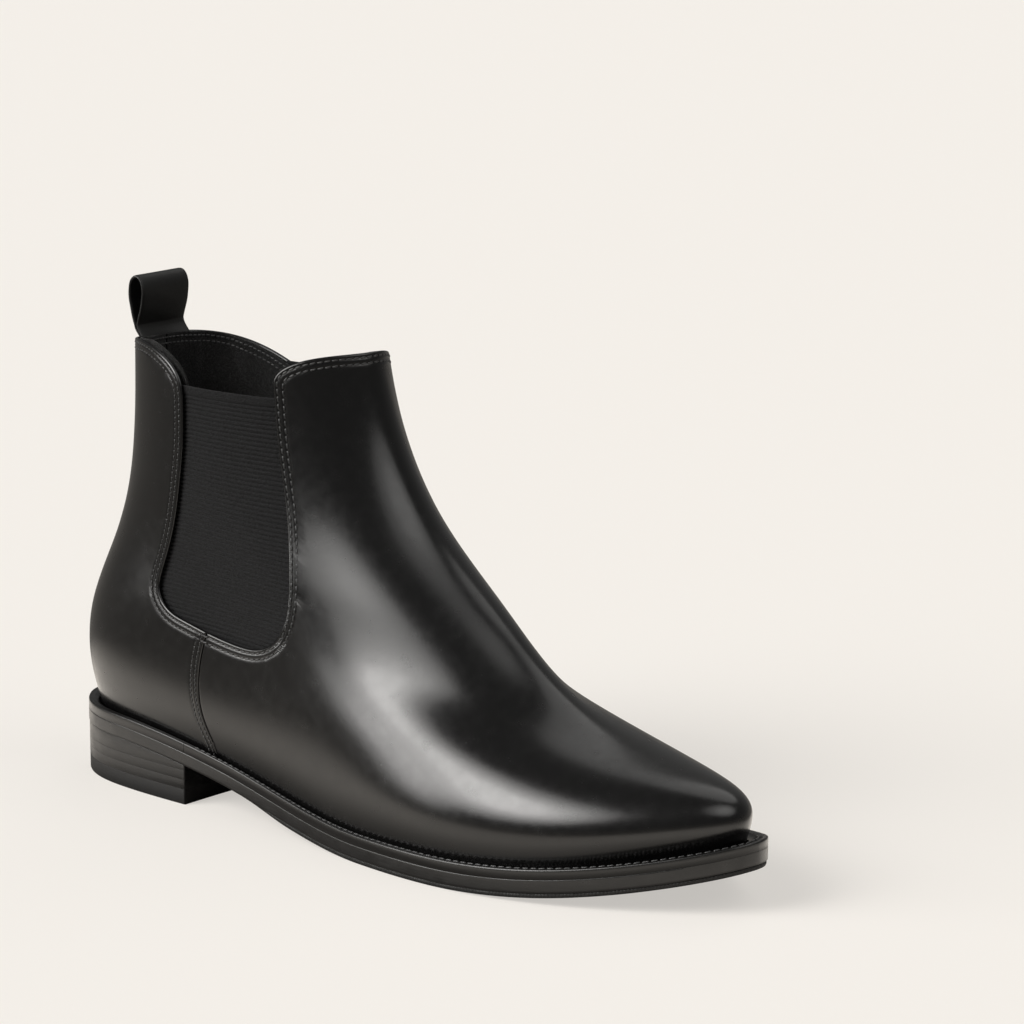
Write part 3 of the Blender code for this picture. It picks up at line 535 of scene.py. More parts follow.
def two_faced(front, back, rows, cols):
    """Points and faces of a sheet: a front grid, a back grid and the rim between them."""
    count = rows * cols
    faces = grid_faces(rows, cols)
    faces += [tuple(i + count for i in face[::-1]) for face in faces]
    rim = list(range(cols)) + [i * cols + cols - 1 for i in range(1, rows)]
    rim += [(rows - 1) * cols + j for j in range(cols - 2, -1, -1)]
    rim += [i * cols for i in range(rows - 2, 0, -1)]
    faces += [(b, a, a + count, b + count) for a, b in zip(rim, rim[1:] + rim[:1])]
    return np.concatenate([front.reshape(-1, 3), back.reshape(-1, 3)]), faces


def sharpen(piece, degrees):
    """Keep edges sharper than this crisp."""
    piece.data.set_sharp_from_angle(angle=math.radians(degrees))


def nearest(points, line, chunk=2000):
    """Distance from each point to the nearest point of a dense line."""
    result = np.empty(len(points))
    for start in range(0, len(points), chunk):
        part = points[start:start + chunk]
        apart = part[:, None, :] - line[None, :, :]
        result[start:start + chunk] = np.sqrt(np.einsum("ijk,ijk->ij", apart, apart).min(axis=1))
    return result


def path_length(points):
    steps = np.linalg.norm(np.diff(points, axis=0), axis=1)
    return np.concatenate([[0.0], np.cumsum(steps)])


def respace(line, spacing):
    """The same line on the skin, (u, v), in steps of about this many mm."""
    line = np.asarray(line)
    along = path_length(skin(line[:, 0], line[:, 1]))
    count = max(int(round(along[-1] / spacing)), 1)
    at = np.linspace(0, along[-1], count + 1)
    return np.stack([np.interp(at, along, line[:, 0]), np.interp(at, along, line[:, 1])], axis=1)


def joined(*lines):
    """One line through all of them, end to end."""
    return np.concatenate([lines[0]] + [line[1:] for line in lines[1:]])


def beside(line, distance):
    """The line moved over the skin to its left, as seen from outside."""
    here = skin(line[:, 0], line[:, 1])
    along = unit(np.gradient(here, axis=0))
    by_u, by_v = skin_slopes(line[:, 0], line[:, 1])
    sideways = np.cross(unit(np.cross(by_u, by_v)), along)
    uu, uv, vv = (np.einsum("ij,ij->i", a, b) for a, b in ((by_u, by_u), (by_u, by_v), (by_v, by_v)))
    su, sv = (np.einsum("ij,ij->i", sideways, a) for a in (by_u, by_v))
    area = uu * vv - uv * uv
    step = np.stack([(su * vv - sv * uv) / area, (sv * uu - su * uv) / area], axis=1)
    return line + distance * step


def row_along(edge, distance, slack=0.06):
    """A line at a distance inside an edge, without the loops it would make at corners."""
    moved = beside(edge, distance)
    points = skin(moved[:, 0], moved[:, 1])
    keep = nearest(points, skin(edge[:, 0], edge[:, 1])) > distance - slack
    return moved[keep]


def spread_out(line, least=0.35):
    """The line without the points that crowd the one before them."""
    points = skin(line[:, 0], line[:, 1])
    keep = [0]
    for order in range(1, len(points)):
        if np.linalg.norm(points[order] - points[keep[-1]]) > least:
            keep.append(order)
    return line[keep]


def seam(parts, outer_side, shift):
    """u and v along seam runs, shifted along X."""
    line = joined(*(smooth_run(part, 120) for part in parts))
    line[:, 0] += shift
    u, v = locate(line, outer_side)
    return np.stack([u, v], axis=1)


def foot_of(seam_uv):
    """Make the seam end on the welt line."""
    seam_uv = seam_uv.copy()
    seam_uv[0, 1] = 0.0
    return seam_uv


def inside(points, outline):
    """Which 2-D points lie inside the closed outline."""
    x, y = points[:, :1], points[:, 1:]
    x1, y1 = outline[:, 0], outline[:, 1]
    x2, y2 = np.roll(x1, -1), np.roll(y1, -1)
    result = np.empty(len(points), bool)
    for start in range(0, len(points), 4000):
        px, py = x[start:start + 4000], y[start:start + 4000]
        spans = (y1 > py) != (y2 > py)
        cross = px < (x2 - x1) * (py - y1) / np.where(y2 == y1, 1e-12, y2 - y1) + x1
        result[start:start + 4000] = (spans & cross).sum(axis=1) % 2 == 1
    return result


FLAT = np.array((520.0, 210.0))     # rough size of the skin, to spread points evenly


class Panel:
    """A stretch of skin inside a closed line: fine triangles, dense beside its free edges."""

    def __init__(self, free_edge, foot_edge, rings, spacing):
        free = respace(free_edge, 0.7)
        foot = respace(foot_edge, spacing)
        outline = np.concatenate([free, foot[1:-1]])
        self.edge_points = skin(free[:, 0], free[:, 1])
        clear = rings[-1] + 0.6 * spacing
        fill = self.lattice(outline, spacing)
        points = skin(fill[:, 0], fill[:, 1])
        foot_points = skin(foot[:, 0], foot[:, 1])
        fill = fill[(nearest(points, self.edge_points) > clear)
                    & (nearest(points, foot_points) > 0.5 * spacing)]
        near = np.concatenate([spread_out(row_along(free, d, 0.03)) for d in rings])
        near = near[inside(near * FLAT, outline * FLAT)]
        near = near[nearest(skin(near[:, 0], near[:, 1]), foot_points) > 0.4]
        every = np.concatenate([outline, near, fill]) * FLAT
        corners, _, faces = delaunay_2d_cdt(
            [Vector(point) for point in every], [], [list(range(len(outline)))], 1, 1e-7)[:3]
        at = np.array([tuple(corner) for corner in corners]) / FLAT
        self.u, self.v = at[:, 0], at[:, 1]
        self.faces = [tuple(face) for face in faces]
        self.from_edge = nearest(skin(self.u, self.v), self.edge_points)
        self.border = self.find_border()

    @staticmethod
    def lattice(outline, spacing):
        """Points of a triangular pattern inside the outline."""
        low, high = (outline * FLAT).min(axis=0), (outline * FLAT).max(axis=0)
        rise = spacing * math.sqrt(3) / 2
        rows = np.arange(low[1], high[1], rise)
        points = []
        for number, y in enumerate(rows):
            x = np.arange(low[0] + (number % 2) * spacing / 2, high[0], spacing)
            points.append(np.stack([x, np.full_like(x, y)], axis=1))
        points = np.concatenate(points)
        return points[inside(points, outline * FLAT)] / FLAT

    def find_border(self):
        """Directed edges that only one triangle uses."""
        edges = set()
        for face in self.faces:
            for a, b in zip(face, face[1:] + face[:1]):
                edges.add((a, b))
        return [(a, b) for a, b in edges if (b, a) not in edges]

    def solid(self, depth, thick, roundness, foot_rows):
        """Points and faces of the panel with thickness and rounded free edges.

        foot_rows continue both faces below the welt line, as (outward, below) pairs.
        """
        inset = np.clip(self.from_edge, 0, roundness)
        drop = roundness - np.sqrt(np.maximum(roundness ** 2 - (roundness - inset) ** 2, 0))
        drop = np.minimum(drop, thick / 2 - 0.02)
        front = under_skin(self.u, self.v, depth + drop)
        back = under_skin(self.u, self.v, depth + thick - np.minimum(drop, thick / 2 - 0.02))
        count = len(self.u)
        points = [front, back]
        faces = list(self.faces) + [tuple(i + count for i in face[::-1]) for face in self.faces]
        on_foot = self.v < 1e-6
        spare = 2 * count
        foot_of_point = {}
        ids = np.flatnonzero(on_foot)
        for side, rows in enumerate(foot_rows):
            for number, (outward, below) in enumerate(rows):
                points.append(beside_welt(self.u[ids], np.full(len(ids), outward), below))
                for order, i in enumerate(ids):
                    foot_of_point[side, number, i] = spare + order
                spare += len(ids)
        last = len(foot_rows[0]) - 1 if foot_rows else -1
        for a, b in self.border:
            if on_foot[a] and on_foot[b] and last >= 0:
                for side in (0, 1):
                    before = (a + side * count, b + side * count)
                    for number in range(last + 1):
                        after = (foot_of_point[side, number, a], foot_of_point[side, number, b])
                        quad = (before[1], before[0], after[0], after[1])
                        faces.append(quad if side == 0 else quad[::-1])
                        before = after
                faces.append((foot_of_point[0, last, b], foot_of_point[0, last, a],
                              foot_of_point[1, last, a], foot_of_point[1, last, b]))
            else:
                faces.append((b, a, a + count, b + count))
        return np.concatenate(points), faces


RIPPLES = np.random.default_rng(7).normal(size=(14, 3))
RIPPLE_PHASES = np.random.default_rng(8).uniform(0, 2 * math.pi, 14)


def ripple(points, size):
    """A gentle unevenness between about -1 and 1, with features of this size in mm."""
    waves = np.sin(points @ (RIPPLES * 2 / size).T + RIPPLE_PHASES)
    return waves.sum(axis=1) / math.sqrt(len(RIPPLE_PHASES) * 2)


# ------------------------------------------------------------ the upper
RINGS_BY_EDGE = (0.06, 0.2, 0.42, 0.75, 1.15, 1.35, 1.5, 1.65, 1.85, 2.4, 3.0, 3.35, 3.6, 3.85,
                 4.3, 5.2, 6.4)
FOOT_ROWS = ([(0.0, 2.6), (-1.2, 3.6), (-6.0, 3.6), (-12.0, 3.6)],
             [(-1.6, 1.0), (-2.4, 2.0), (-6.0, 2.0), (-12.0, 2.0)])


def vamp_edges():
    """Free edge from the outer side seam, over the collar, to the inner one; foot edge back."""
    parts = (SIDE_SEAM, GORE_EDGE_FRONT)
    outer = foot_of(seam(parts, True, GAP / 2))
    inner = foot_of(seam(parts, False, GAP / 2))
    t = (1 - np.cos(np.linspace(0, math.pi, 401))) / 2
    from_edge = 1 - np.abs(2 * t - 1)
    u = outer[-1, 0] + (inner[-1, 0] - outer[-1, 0]) * t
    edge_v = outer[-1, 1] + (inner[-1, 1] - outer[-1, 1]) * t
    power, corner = (np.where(t < 0.5, *pair) for pair in zip(*VAMP_COLLARS))
    rise = (1 - (1 - from_edge) ** power) ** corner
    collar = np.stack([u, edge_v + (VAMP_CREST_V - edge_v) * rise], axis=1)
    foot = np.stack([np.linspace(inner[0, 0], outer[0, 0], 900), np.zeros(900)], axis=1)
    return outer, collar, inner, foot


def quarter_edges(outer_side):
    """Back seam, collar and front edge of a quarter, and its foot edge."""
    front = foot_of(seam((SIDE_SEAM, GORE_EDGE_REAR), outer_side, -GAP / 2))
    back_u = BACK_SEAM_HALF_U if outer_side else 1 - BACK_SEAM_HALF_U
    t = (1 - np.cos(np.linspace(0, math.pi, 401))) / 2
    u = back_u + (front[-1, 0] - back_u) * t
    power, corner, bulge = QUARTER_COLLARS[outer_side]
    rise = (1 - t ** power) ** corner
    v = front[-1, 1] + (collar_back_v() - front[-1, 1]) * rise + bulge * np.sin(math.pi * t) ** 2
    collar = np.stack([u, v], axis=1)
    back = np.stack([np.full(300, back_u), np.linspace(0, v[0], 300)], axis=1)
    foot = np.stack([np.linspace(front[0, 0], back_u, 200), np.zeros(200)], axis=1)
    return back, collar, front, foot


def edge_from_join(edge, outer_side):
    """The part of a front edge from the seams' meeting point upwards."""
    join_v = locate([SEAM_JOIN], outer_side)[1][0]
    start = int(np.argmax(edge[:, 1] > join_v))
    return edge[start:]


def stitch_form(half_length, radius):
    """One stitch: a slim body, thickest in the middle, lying along X."""
    rings, sides = 5, 8
    points = []
    for t in np.linspace(-1, 1, rings + 2)[1:-1]:
        r = radius * math.sqrt(1 - t ** 4)
        for k in range(sides):
            angle = 2 * math.pi * k / sides
            points.append((half_length * t, r * math.cos(angle), r * math.sin(angle) * 0.9))
    faces = grid_faces(rings, sides, closed_columns=True)
    points += [(-half_length, 0, -radius * 0.6), (half_length, 0, -radius * 0.6)]
    first, last = rings * sides, rings * sides + 1
    for k in range(sides):
        faces.append((first, (k + 1) % sides, k))
        base = (rings - 1) * sides
        faces.append((last, base + k, base + (k + 1) % sides))
    return np.array(points), faces


def sew(name, lines, pitch, radius, material, stands_for, depth=0.0, slant=0.10,
        inward=False, place=None):
    """Single stitches along lines on the skin, a little sunk in and slightly slanted."""
    form, form_faces = stitch_form(pitch * 0.44, radius)
    points, faces = [], []
    for line in lines:
        if place is None:
            line = respace(line, pitch)
            centre = skin(line[:, 0], line[:, 1])
            out = skin_normal(line[:, 0], line[:, 1])
            level = depth(line[:, 0], line[:, 1]) if callable(depth) else depth
            centre = centre - np.asarray(level)[..., None] * out
        else:
            centre, out = place(line)
        if inward:
            out = -out
        along = unit(np.gradient(centre, axis=0))
        side = unit(np.cross(out, along))
        along = unit(along + slant * side)
        side = unit(np.cross(out, along))
        for c, a, s, o in zip(centre, along, side, out):
            base = len(points) * len(form)
            points.append(c + form @ np.array([a, s, o]))
            faces += [tuple(i + base for i in face) for face in form_faces]
    return add_piece(name, np.concatenate(points), faces, material, stands_for)


def rows_beside(edge):
    """Both rows of stitches inside an edge."""
    edge = respace(edge, 0.35)
    return [row_along(edge, ROW_FROM_EDGE + k * ROW_SPACING) for k in (0, 1)]


def groove_of(panel, rows):
    """How far the rows of stitches pull the panel in at each of its points."""
    points = skin(panel.u, panel.v)
    groove = np.zeros(len(points))
    for row in rows:
        line = respace(row, 0.3)
        apart = nearest(points, skin(line[:, 0], line[:, 1]))
        groove = np.maximum(groove, STITCH_GROOVE * np.exp(-(apart / 0.38) ** 2))
    return groove


def leather_depth(panel, rows):
    """Depth of the leather's face: grooves at the rows and a hand-lasted unevenness."""
    points = skin(panel.u, panel.v)
    calm = ease((panel.from_edge - 3.0) / 12.0)
    uneven = 0.045 * ripple(points, 34.0) + 0.014 * ripple(points + 50.0, 13.0)
    return groove_of(panel, rows) - uneven * calm


def lining_face(panel):
    """Depth of the lining's outer face; its inner face is wrinkled."""
    points = skin(panel.u, panel.v)
    calm = ease((panel.from_edge - 1.0) / 4.0)
    wrinkles = 0.15 * (ripple(points, 7.0) + 1) + 0.07 * (ripple(points + 20.0, 3.2) + 1)
    return lining_depth(panel.u, panel.v) + wrinkles * calm


def make_panel(name, panel, rows):
    points, faces = panel.solid(leather_depth(panel, rows), UPPER_THICK - 0.1, 0.75, FOOT_ROWS)
    add_piece(name, points, faces, CALF, (name,))


def make_lining(name, panel):
    points, faces = panel.solid(lining_face(panel), LINING_THICK, 0.38, ())
    add_piece(name, points, faces, SUEDE, (name,))


def inner_face(u, v):
    """Depth at which stitches sit on the lining's inner face."""
    return lining_depth(u, v) + LINING_THICK - 0.05


def sew_lining(name, rows, pitch):
    """The collar's rows of stitches as they show on the inside."""
    collar_rows = [row[row[:, 1] > LINING_ROW_V] for row in rows]
    sew(name, collar_rows, pitch, THREAD_RADIUS, THREAD, (), inner_face,
        inward=True)


def make_vamp():
    outer, collar, inner, foot = vamp_edges()
    free = joined(outer, collar, inner[::-1])[::-1]
    panel = Panel(free, foot[::-1], RINGS_BY_EDGE, 1.7)
    sewn = joined(edge_from_join(outer, True), collar, edge_from_join(inner, False)[::-1])[::-1]
    rows = rows_beside(sewn)
    make_panel("vamp", panel, rows)
    make_lining("vamp_lining", panel)
    for side, keep in (("lateral", lambda u: u < TOE_U), ("medial", lambda u: u >= TOE_U)):
        for number, row in enumerate(rows, 1):
            half = row[keep(row[:, 0])]
            sew(f"vamp_stitching_{side}_{number}", [half], VAMP_PITCH, THREAD_RADIUS, THREAD,
                (f"vamp_stitching_{side}_{number}",), STITCH_GROOVE - 0.14)
    sew_lining("vamp_lining_stitching", rows, VAMP_PITCH)


def make_quarter(side, outer_side):
    back, collar, front, foot = quarter_edges(outer_side)
    free = joined(back, collar, front[::-1])
    if not outer_side:
        free, foot = free[::-1], foot[::-1]
    panel = Panel(free[::-1], foot[::-1], RINGS_BY_EDGE, 1.5)
    upper_edge = joined(edge_from_join(front, outer_side), collar[::-1])
    seam_edge = front[:int(np.argmax(front[:, 1] > edge_from_join(front, outer_side)[0, 1]))]
    if not outer_side:
        upper_edge, seam_edge = upper_edge[::-1], seam_edge[::-1]
    rows = rows_beside(upper_edge)
    seam_rows = rows_beside(seam_edge)
    make_panel("quarter_" + side, panel, rows + seam_rows)
    make_lining("quarter_lining_" + side, panel)
    for number, (row, seam_row) in enumerate(zip(rows, seam_rows), 1):
        for kind, line, pitch in (("quarter", row, QUARTER_PITCH), ("side_seam", seam_row, SEAM_PITCH)):
            name = f"{kind}_stitching_{side}_{number}"
            sew(name, [line], pitch, FINE_THREAD_RADIUS, THREAD, (name,),
                STITCH_GROOVE - 0.12)
    sew_lining("quarter_lining_stitching_" + side, rows, QUARTER_PITCH)


def make_gore(side, outer_side, columns=44):
    """Elastic side panel with rounded ribs across it and a plain selvedge along its top."""
    rear = smooth_run(GORE_FOOT_REAR[-1:] + GORE_REAR, 200)
    front = smooth_run(GORE_FOOT_FRONT[-1:] + GORE_FRONT, 200)
    height = GORE_TOP_Z - sum(GORE_LOWEST) / 2
    ribs = int((height - SELVEDGE) / RIB_PITCH)
    steps = 7
    share_top = 1 - SELVEDGE / height
    shares = np.linspace(0, share_top, ribs * steps + 1)
    rib = RIB_DEPTH * (1 - np.abs(np.sin(math.pi * np.linspace(0, ribs, ribs * steps + 1))))
    band = np.array((0.08, 0.3, 0.6, 0.85, 0.93, 0.97, 0.99, 1.0))
    shares = np.concatenate([shares, share_top + (1 - share_top) * band])
    rib = np.concatenate([rib, (-0.02, -0.06, -0.06, -0.1, -0.06, 0.06, 0.2, 0.42)])
    t = np.linspace(0, 1, columns + 1)
    grid = []
    for share in shares:
        z_rear, z_front = (low + (GORE_TOP_Z - low) * share for low in GORE_LOWEST)
        x_rear = np.interp(z_rear, rear[:, 1], rear[:, 0]) - GORE_UNDERLAP
        x_front = np.interp(z_front, front[:, 1], front[:, 0]) + GORE_UNDERLAP
        grid.append(np.stack([x_rear + (x_front - x_rear) * t,
                              z_rear + (z_front - z_rear) * t], 1))
    grid = np.array(grid)
    u, v = locate(grid.reshape(-1, 2), outer_side)
    points = skin(u, v)
    hollow = rib[:, None] * np.ones(columns + 1)
    sag = 0.12 * ripple(points, 24.0)
    front_face = under_skin(u, v, FILLING_DEPTH + hollow.ravel() + np.maximum(sag, 0))
    back_face = under_skin(u, v, FILLING_DEPTH + FILLING_THICK - 0.45 * hollow.ravel())
    points, faces = two_faced(front_face, back_face, *grid.shape[:2])
    add_piece("gore_" + side, points, faces, ELASTIC, ("gore_" + side,))


def make_back_strip():
    """Narrow strip over the back seam, with turned edges and a row of stitches each side."""
    top = collar_back_v()
    across = np.array((-1.0, -0.99, -0.96, -0.9, -0.8, -0.6, -0.3, 0, 0.3, 0.6, 0.8, 0.9, 0.96, 0.99,
                       1.0))
    up = np.concatenate([[0, 0.001, 0.004, 0.009], np.linspace(0.016, 0.984, 110),
                         [0.991, 0.996, 0.999, 1.0]])
    u, share = np.meshgrid(BACK_STRIP_HALF_U * across, up)
    v = BACK_STRIP_LOW_V + (top - BACK_STRIP_LOW_V) * share
    lift = BACK_STRIP_THICK * np.sqrt(np.clip(1 - np.abs(across) ** 14, 0, 1))
    ends = np.sqrt(np.clip(1 - np.abs(2 * up - 1) ** 160, 0, 1))
    height = GAP + lift[None, :] * ends[:, None]
    front = under_skin(u, v, -height)
    back = under_skin(u, v, -np.full(u.shape, 0.08))
    points, faces = two_faced(front, back, *u.shape)
    add_piece("back_strip", points, faces, CALF, ("back_strip",))
    line = np.linspace(BACK_STRIP_LOW_V + 0.006, top - 0.006, 200)
    rows = [np.stack([np.full_like(line, side * BACK_STRIP_HALF_U * 0.74), line], axis=1)
            for side in (-1, 1)]
    sew("back_strip_stitching", rows, QUARTER_PITCH, FINE_THREAD_RADIUS, THREAD, (),
        -(GAP + BACK_STRIP_THICK))


# ------------------------------------------------------------ the pull loop
def loop_path():
    """The tape's middle line (x, z), rear end, finger hole, front end, and its thickness."""
    foot_z = HINGE_Z + LOOP_FOOT_RISE
    height = LOOP_TOP_Z - LOOP_TAPE / 2 - foot_z
    turn = np.linspace(0.16, 2 * math.pi - 0.16, 90)
    rise = (1 - np.cos(turn)) / 2
    spread = (LOOP_BULGE + LOOP_TAPE / 2) * np.sin(turn) * (0.12 + 0.88 * rise ** 0.8)
    half_tape = LOOP_TAPE / 2 + 0.04
    spread = np.sign(spread) * np.maximum(np.abs(spread), half_tape * ease(1.4 - rise))
    over = np.stack([HINGE_X - spread, foot_z + height * rise], axis=1)
    deep = np.linspace(LOOP_END_Z, foot_z - 0.6, 24)
    thin = SEWN_TAPE + (LOOP_TAPE - SEWN_TAPE) * ease((deep - 157.0) / 5.0)
    rear_end = np.stack([HINGE_X - thin / 2 - 0.02, deep], axis=1)
    front_end = np.stack([HINGE_X + thin / 2 + 0.02, deep], axis=1)
    path = np.concatenate([rear_end, over, front_end[::-1]])
    return path, np.interp(path[:, 1], deep, thin)


def make_pull_loop():
    """One tape: sewn in between leather and lining, up around the finger hole and back."""
    path, tape = loop_path()
    along = unit(np.gradient(path, axis=0))
    side = np.stack([-along[:, 1], along[:, 0]], axis=1)
    share = np.array((-1, -0.99, -0.96, -0.9, -0.7, -0.35, 0, 0.35, 0.7, 0.9, 0.96, 0.99, 1))
    y = LOOP_WIDTH / 2 * share
    u = -share / 2 * LOOP_SPAN_U
    edge = 0.12 + 0.88 * np.sqrt(1 - np.abs(share) ** 30)
    v_at = np.linspace(0.70, 1.0, 301)
    z_at = skin(np.zeros_like(v_at), v_at)[:, 2]
    rows = []
    for (x, z), (sx, sz), thick in zip(path, side, tape):
        v = min(np.interp(z, z_at, v_at), TAPE_TOP_V)
        bow = under_skin(u, np.full_like(u, v), np.full_like(u, TAPE_DEPTH))[:, 0]
        middle = bow[len(u) // 2]
        keep = 1 - ease((z - 158.5) / 9.0)
        here_x = x + (middle - HINGE_X) * keep * ease((HINGE_Z + 2 - z) / 4.0) + (bow - middle) * keep
        here_x = here_x + 0.04 * np.sin(z * 0.9 + y * 0.25) * (1 - keep)
        half = thick / 2 * edge
        ring_out = np.stack([here_x + sx * half, y, z + sz * half], 1)
        ring_in = np.stack([here_x - sx * half, y, z - sz * half], 1)
        rows.append(np.concatenate([ring_out, ring_in[::-1]]))
    rows = np.array(rows)
    count, size = rows.shape[:2]
    faces = grid_faces(count, size, closed_columns=True)
    faces.append(tuple(range(size))[::-1])
    faces.append(tuple((count - 1) * size + k for k in range(size)))
    made = add_piece("pull_loop_tape", rows.reshape(-1, 3), faces, TAPE,
                     ("pull_loop", "pull_loop_sewn_ends"), body=None)
    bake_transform(made)


# ------------------------------------------------------------ welt, rand, sole, heel
def share_at(x):
    s = np.linspace(0, 1, 400)
    return float(np.interp(x, skin(TOE_U * s, np.zeros_like(s))[:, 0], s))


def around_sole(start, end, spacing):
    """u and distance from the back, as shares from start round the toe (1) to end (2 is back)."""
    count = int(660 * abs(end - start) / 2 / spacing)
    s = np.linspace(start, end, count + 1)
    u = np.where(s <= 1, TOE_U * s, 1 - (1 - TOE_U) * (2 - s)) % 1.0
    return s, u, welt_reach(1 - np.abs(1 - s % 2))


WELT_PROFILE = (                # share of the width, mm below the top, wheel mark depth
    (0.00, 3.6, 0), (0.00, 1.7, 0), (0.03, 0.75, 0), (0.16, 0.42, 0), (0.27, 0.25, 0.3),
    (0.37, -0.05, 0.8), (0.47, -0.10, 1), (0.58, -0.02, 1), (0.68, 0.16, 0.5), (0.78, 0.05, 0),
    (0.89, 0.0, 0), (0.955, 0.12, 0), (0.99, 0.40, 0), (1.0, 0.8, 0), (1.0, 3.56, 0),
    (0.985, 3.6, 0))
WHEEL_PITCH = 1.5
WHEEL_DEPTH = 0.24


def make_rim(name, start, end, wheel_from):
    """Welt or rand: rounded rim, groove against the upper, wheeled ridge from the waist on."""
    s, u, reach = around_sole(start, end, 0.32)
    near = GAP + 0.1
    run = path_length(beside_welt(u, reach, 0.0))
    mark = (0.5 + 0.5 * np.cos(2 * math.pi * run / WHEEL_PITCH)) ** 2 * WHEEL_DEPTH
    mark *= ease((1 - np.abs(1 - s) - wheel_from) / 0.01) if wheel_from else 0.0
    columns = []
    for share, below, wheel in WELT_PROFILE:
        outward = near + (reach - near) * share
        columns.append(beside_welt(u, outward, below + mark * wheel))
    points = np.stack(columns, axis=1)
    rows, cols = points.shape[:2]
    faces = grid_faces(rows, cols, closed_columns=True)
    faces.append(tuple(range(cols)))
    faces.append(tuple((rows - 1) * cols + j for j in range(cols))[::-1])
    made = add_piece(name, points.reshape(-1, 3), faces, WELT, (name,))
    sharpen(made, 60)


def make_welt_stitching():
    start = share_at(BREAST_X + 6)
    _, u, reach = around_sole(start, 2 - start, 0.4)

    def place(_):
        line = beside_welt(u, 0.4 + (reach - 0.4) * 0.52, 0.0)
        run = path_length(line)
        at = np.arange(0, run[-1], WELT_PITCH)
        centre = np.stack([np.interp(at, run, line[:, k]) for k in range(3)], axis=1)
        return centre, np.tile((0.0, 0.0, 1.0), (len(centre), 1))
    sew("welt_stitching", [None], WELT_PITCH, 0.36, THREAD, ("welt_stitching",),
        place=place)


def sole_layer(name, rows, material, start=0.0, spacing=1.0, tooth=None, taper=0.0):
    """A sole layer as rings round its edge, from the top inwards to the bottom.

    rows are (mm inside the sole's edge, mm below the welt's top). Towards its rear ends the
    layer thins out over the taper's length.
    """
    s, u, reach = around_sole(start, 2 - start, spacing)
    run = path_length(beside_welt(u, reach, 0.0))
    thick = np.maximum(ease(np.minimum(run, run[-1] - run) / taper), 0.05) if taper else 1.0
    rings = []
    for number, (inset, below) in enumerate(rows):
        nick = np.zeros_like(run)
        if tooth and number in tooth[0]:
            nick = tooth[2] * (0.5 + 0.5 * np.sign(np.sin(2 * math.pi * run / tooth[1])))
        ring = beside_welt(u, reach - inset - nick, rows[0][1] + (below - rows[0][1]) * thick)
        ring[:, 2] = np.maximum(ring[:, 2], 0.0)
        rings.append(ring)
    points = np.array(rings)
    layers, count = points.shape[:2]
    faces = grid_faces(layers, count)
    flat = points.reshape(-1, 3)
    extra = []
    for layer in (0, layers - 1):
        base = layer * count
        middle = count // 2
        for k in range(middle):
            a, b = base + k, base + k + 1
            c, d = base + count - 2 - k, base + count - 1 - k
            if b >= c:
                break
            extra.append((a, b, c, d) if layer else (d, c, b, a))
    faces += extra
    if start > 0:
        faces.append(tuple(k * count for k in range(layers)) +
                     tuple(k * count + count - 1 for k in range(layers - 1, -1, -1)))
    made = add_piece(name, flat, faces, material, (name,))
    sharpen(made, 50)
    return made


def make_sole():
    top = WELT_THICK + 0.02
    bottom = WELT_THICK + GAP + OUTSOLE_THICK
    sole_layer("outsole", ((6, top), (0.05, top), (0.0, top + 0.05), (0.0, top + 0.45),
                           (0.0, bottom - 0.9), (0.05, bottom - 0.3), (0.25, bottom), (6, bottom)),
               STACK)
    low = SOLE_STACK
    start = share_at(RUBBER_START_X)
    sole_layer("forefoot_rubber", ((6, bottom + 0.04), (0.7, bottom + 0.04), (0.45, bottom + 0.2),
                                   (0.42, low - 0.7), (0.75, low - 0.1), (1.4, low), (7, low)),
               RUBBER, start, spacing=0.4, tooth=((2, 3), 1.3, 0.22), taper=34.0)


def heel_ring(inset, z_of, corner, per_side=70):
    """One level ring round the heel, its breast corners rounded."""
    s = np.linspace(0, 1, 1600)
    front = BREAST_X - inset * 0.3
    halves = []
    for u in (TOE_U * s, 1 - (1 - TOE_U) * s):
        line = beside_welt(u, welt_reach(s) - inset, 0.0)[:, :2]
        line = line[line[:, 0] <= front]
        end = line[-1] + (line[-1] - line[-2]) * (front - line[-1, 0]) / (line[-1, 0] - line[-2, 0])
        halves.append(np.concatenate([line, [end]]))
    outer, inner = halves
    angle = np.linspace(0, math.pi / 2, 7)

    def rounded(line, sign):
        body = line[line[:, 0] < front - corner]
        y_edge = line[-1, 1]
        turn = np.stack([front - corner + corner * np.sin(angle),
                         y_edge - sign * corner * (1 - np.cos(angle))], axis=1)
        run = path_length(np.c_[body, np.zeros(len(body))])
        at = np.linspace(0, run[-1], per_side)
        even = np.stack([np.interp(at, run, body[:, 0]), np.interp(at, run, body[:, 1])], axis=1)
        return np.concatenate([even, turn])

    outer, inner = rounded(outer, -1), rounded(inner, 1)
    hollow = np.linspace(0, 1, 14)[1:-1]
    breast = outer[-1] + (inner[-1] - outer[-1]) * hollow[:, None]
    breast[:, 0] -= 0.9 * np.sin(math.pi * hollow)
    ring = np.concatenate([outer, breast, inner[::-1][:-1]])
    return np.column_stack([ring, [z_of(x) for x in ring[:, 0]]])


def heel_layer(name, levels, material):
    """A heel layer through rings (inset, height as a function of x), top to bottom, capped."""
    rings = [heel_ring(inset, z_of, 0.5) for inset, z_of in levels]
    points = np.array(rings)
    layers, count = points.shape[:2]
    faces = grid_faces(layers, count, closed_columns=True)
    faces.append(tuple(range(count)))
    faces.append(tuple((layers - 1) * count + k for k in range(count))[::-1])
    made = add_piece(name, points.reshape(-1, 3), faces, material, (name,))
    sharpen(made, 40)
    return made


def heel_inset(z):
    return HEEL_INSET + HEEL_TAPER * (1 - z / HEEL_TAPER_HEIGHT)


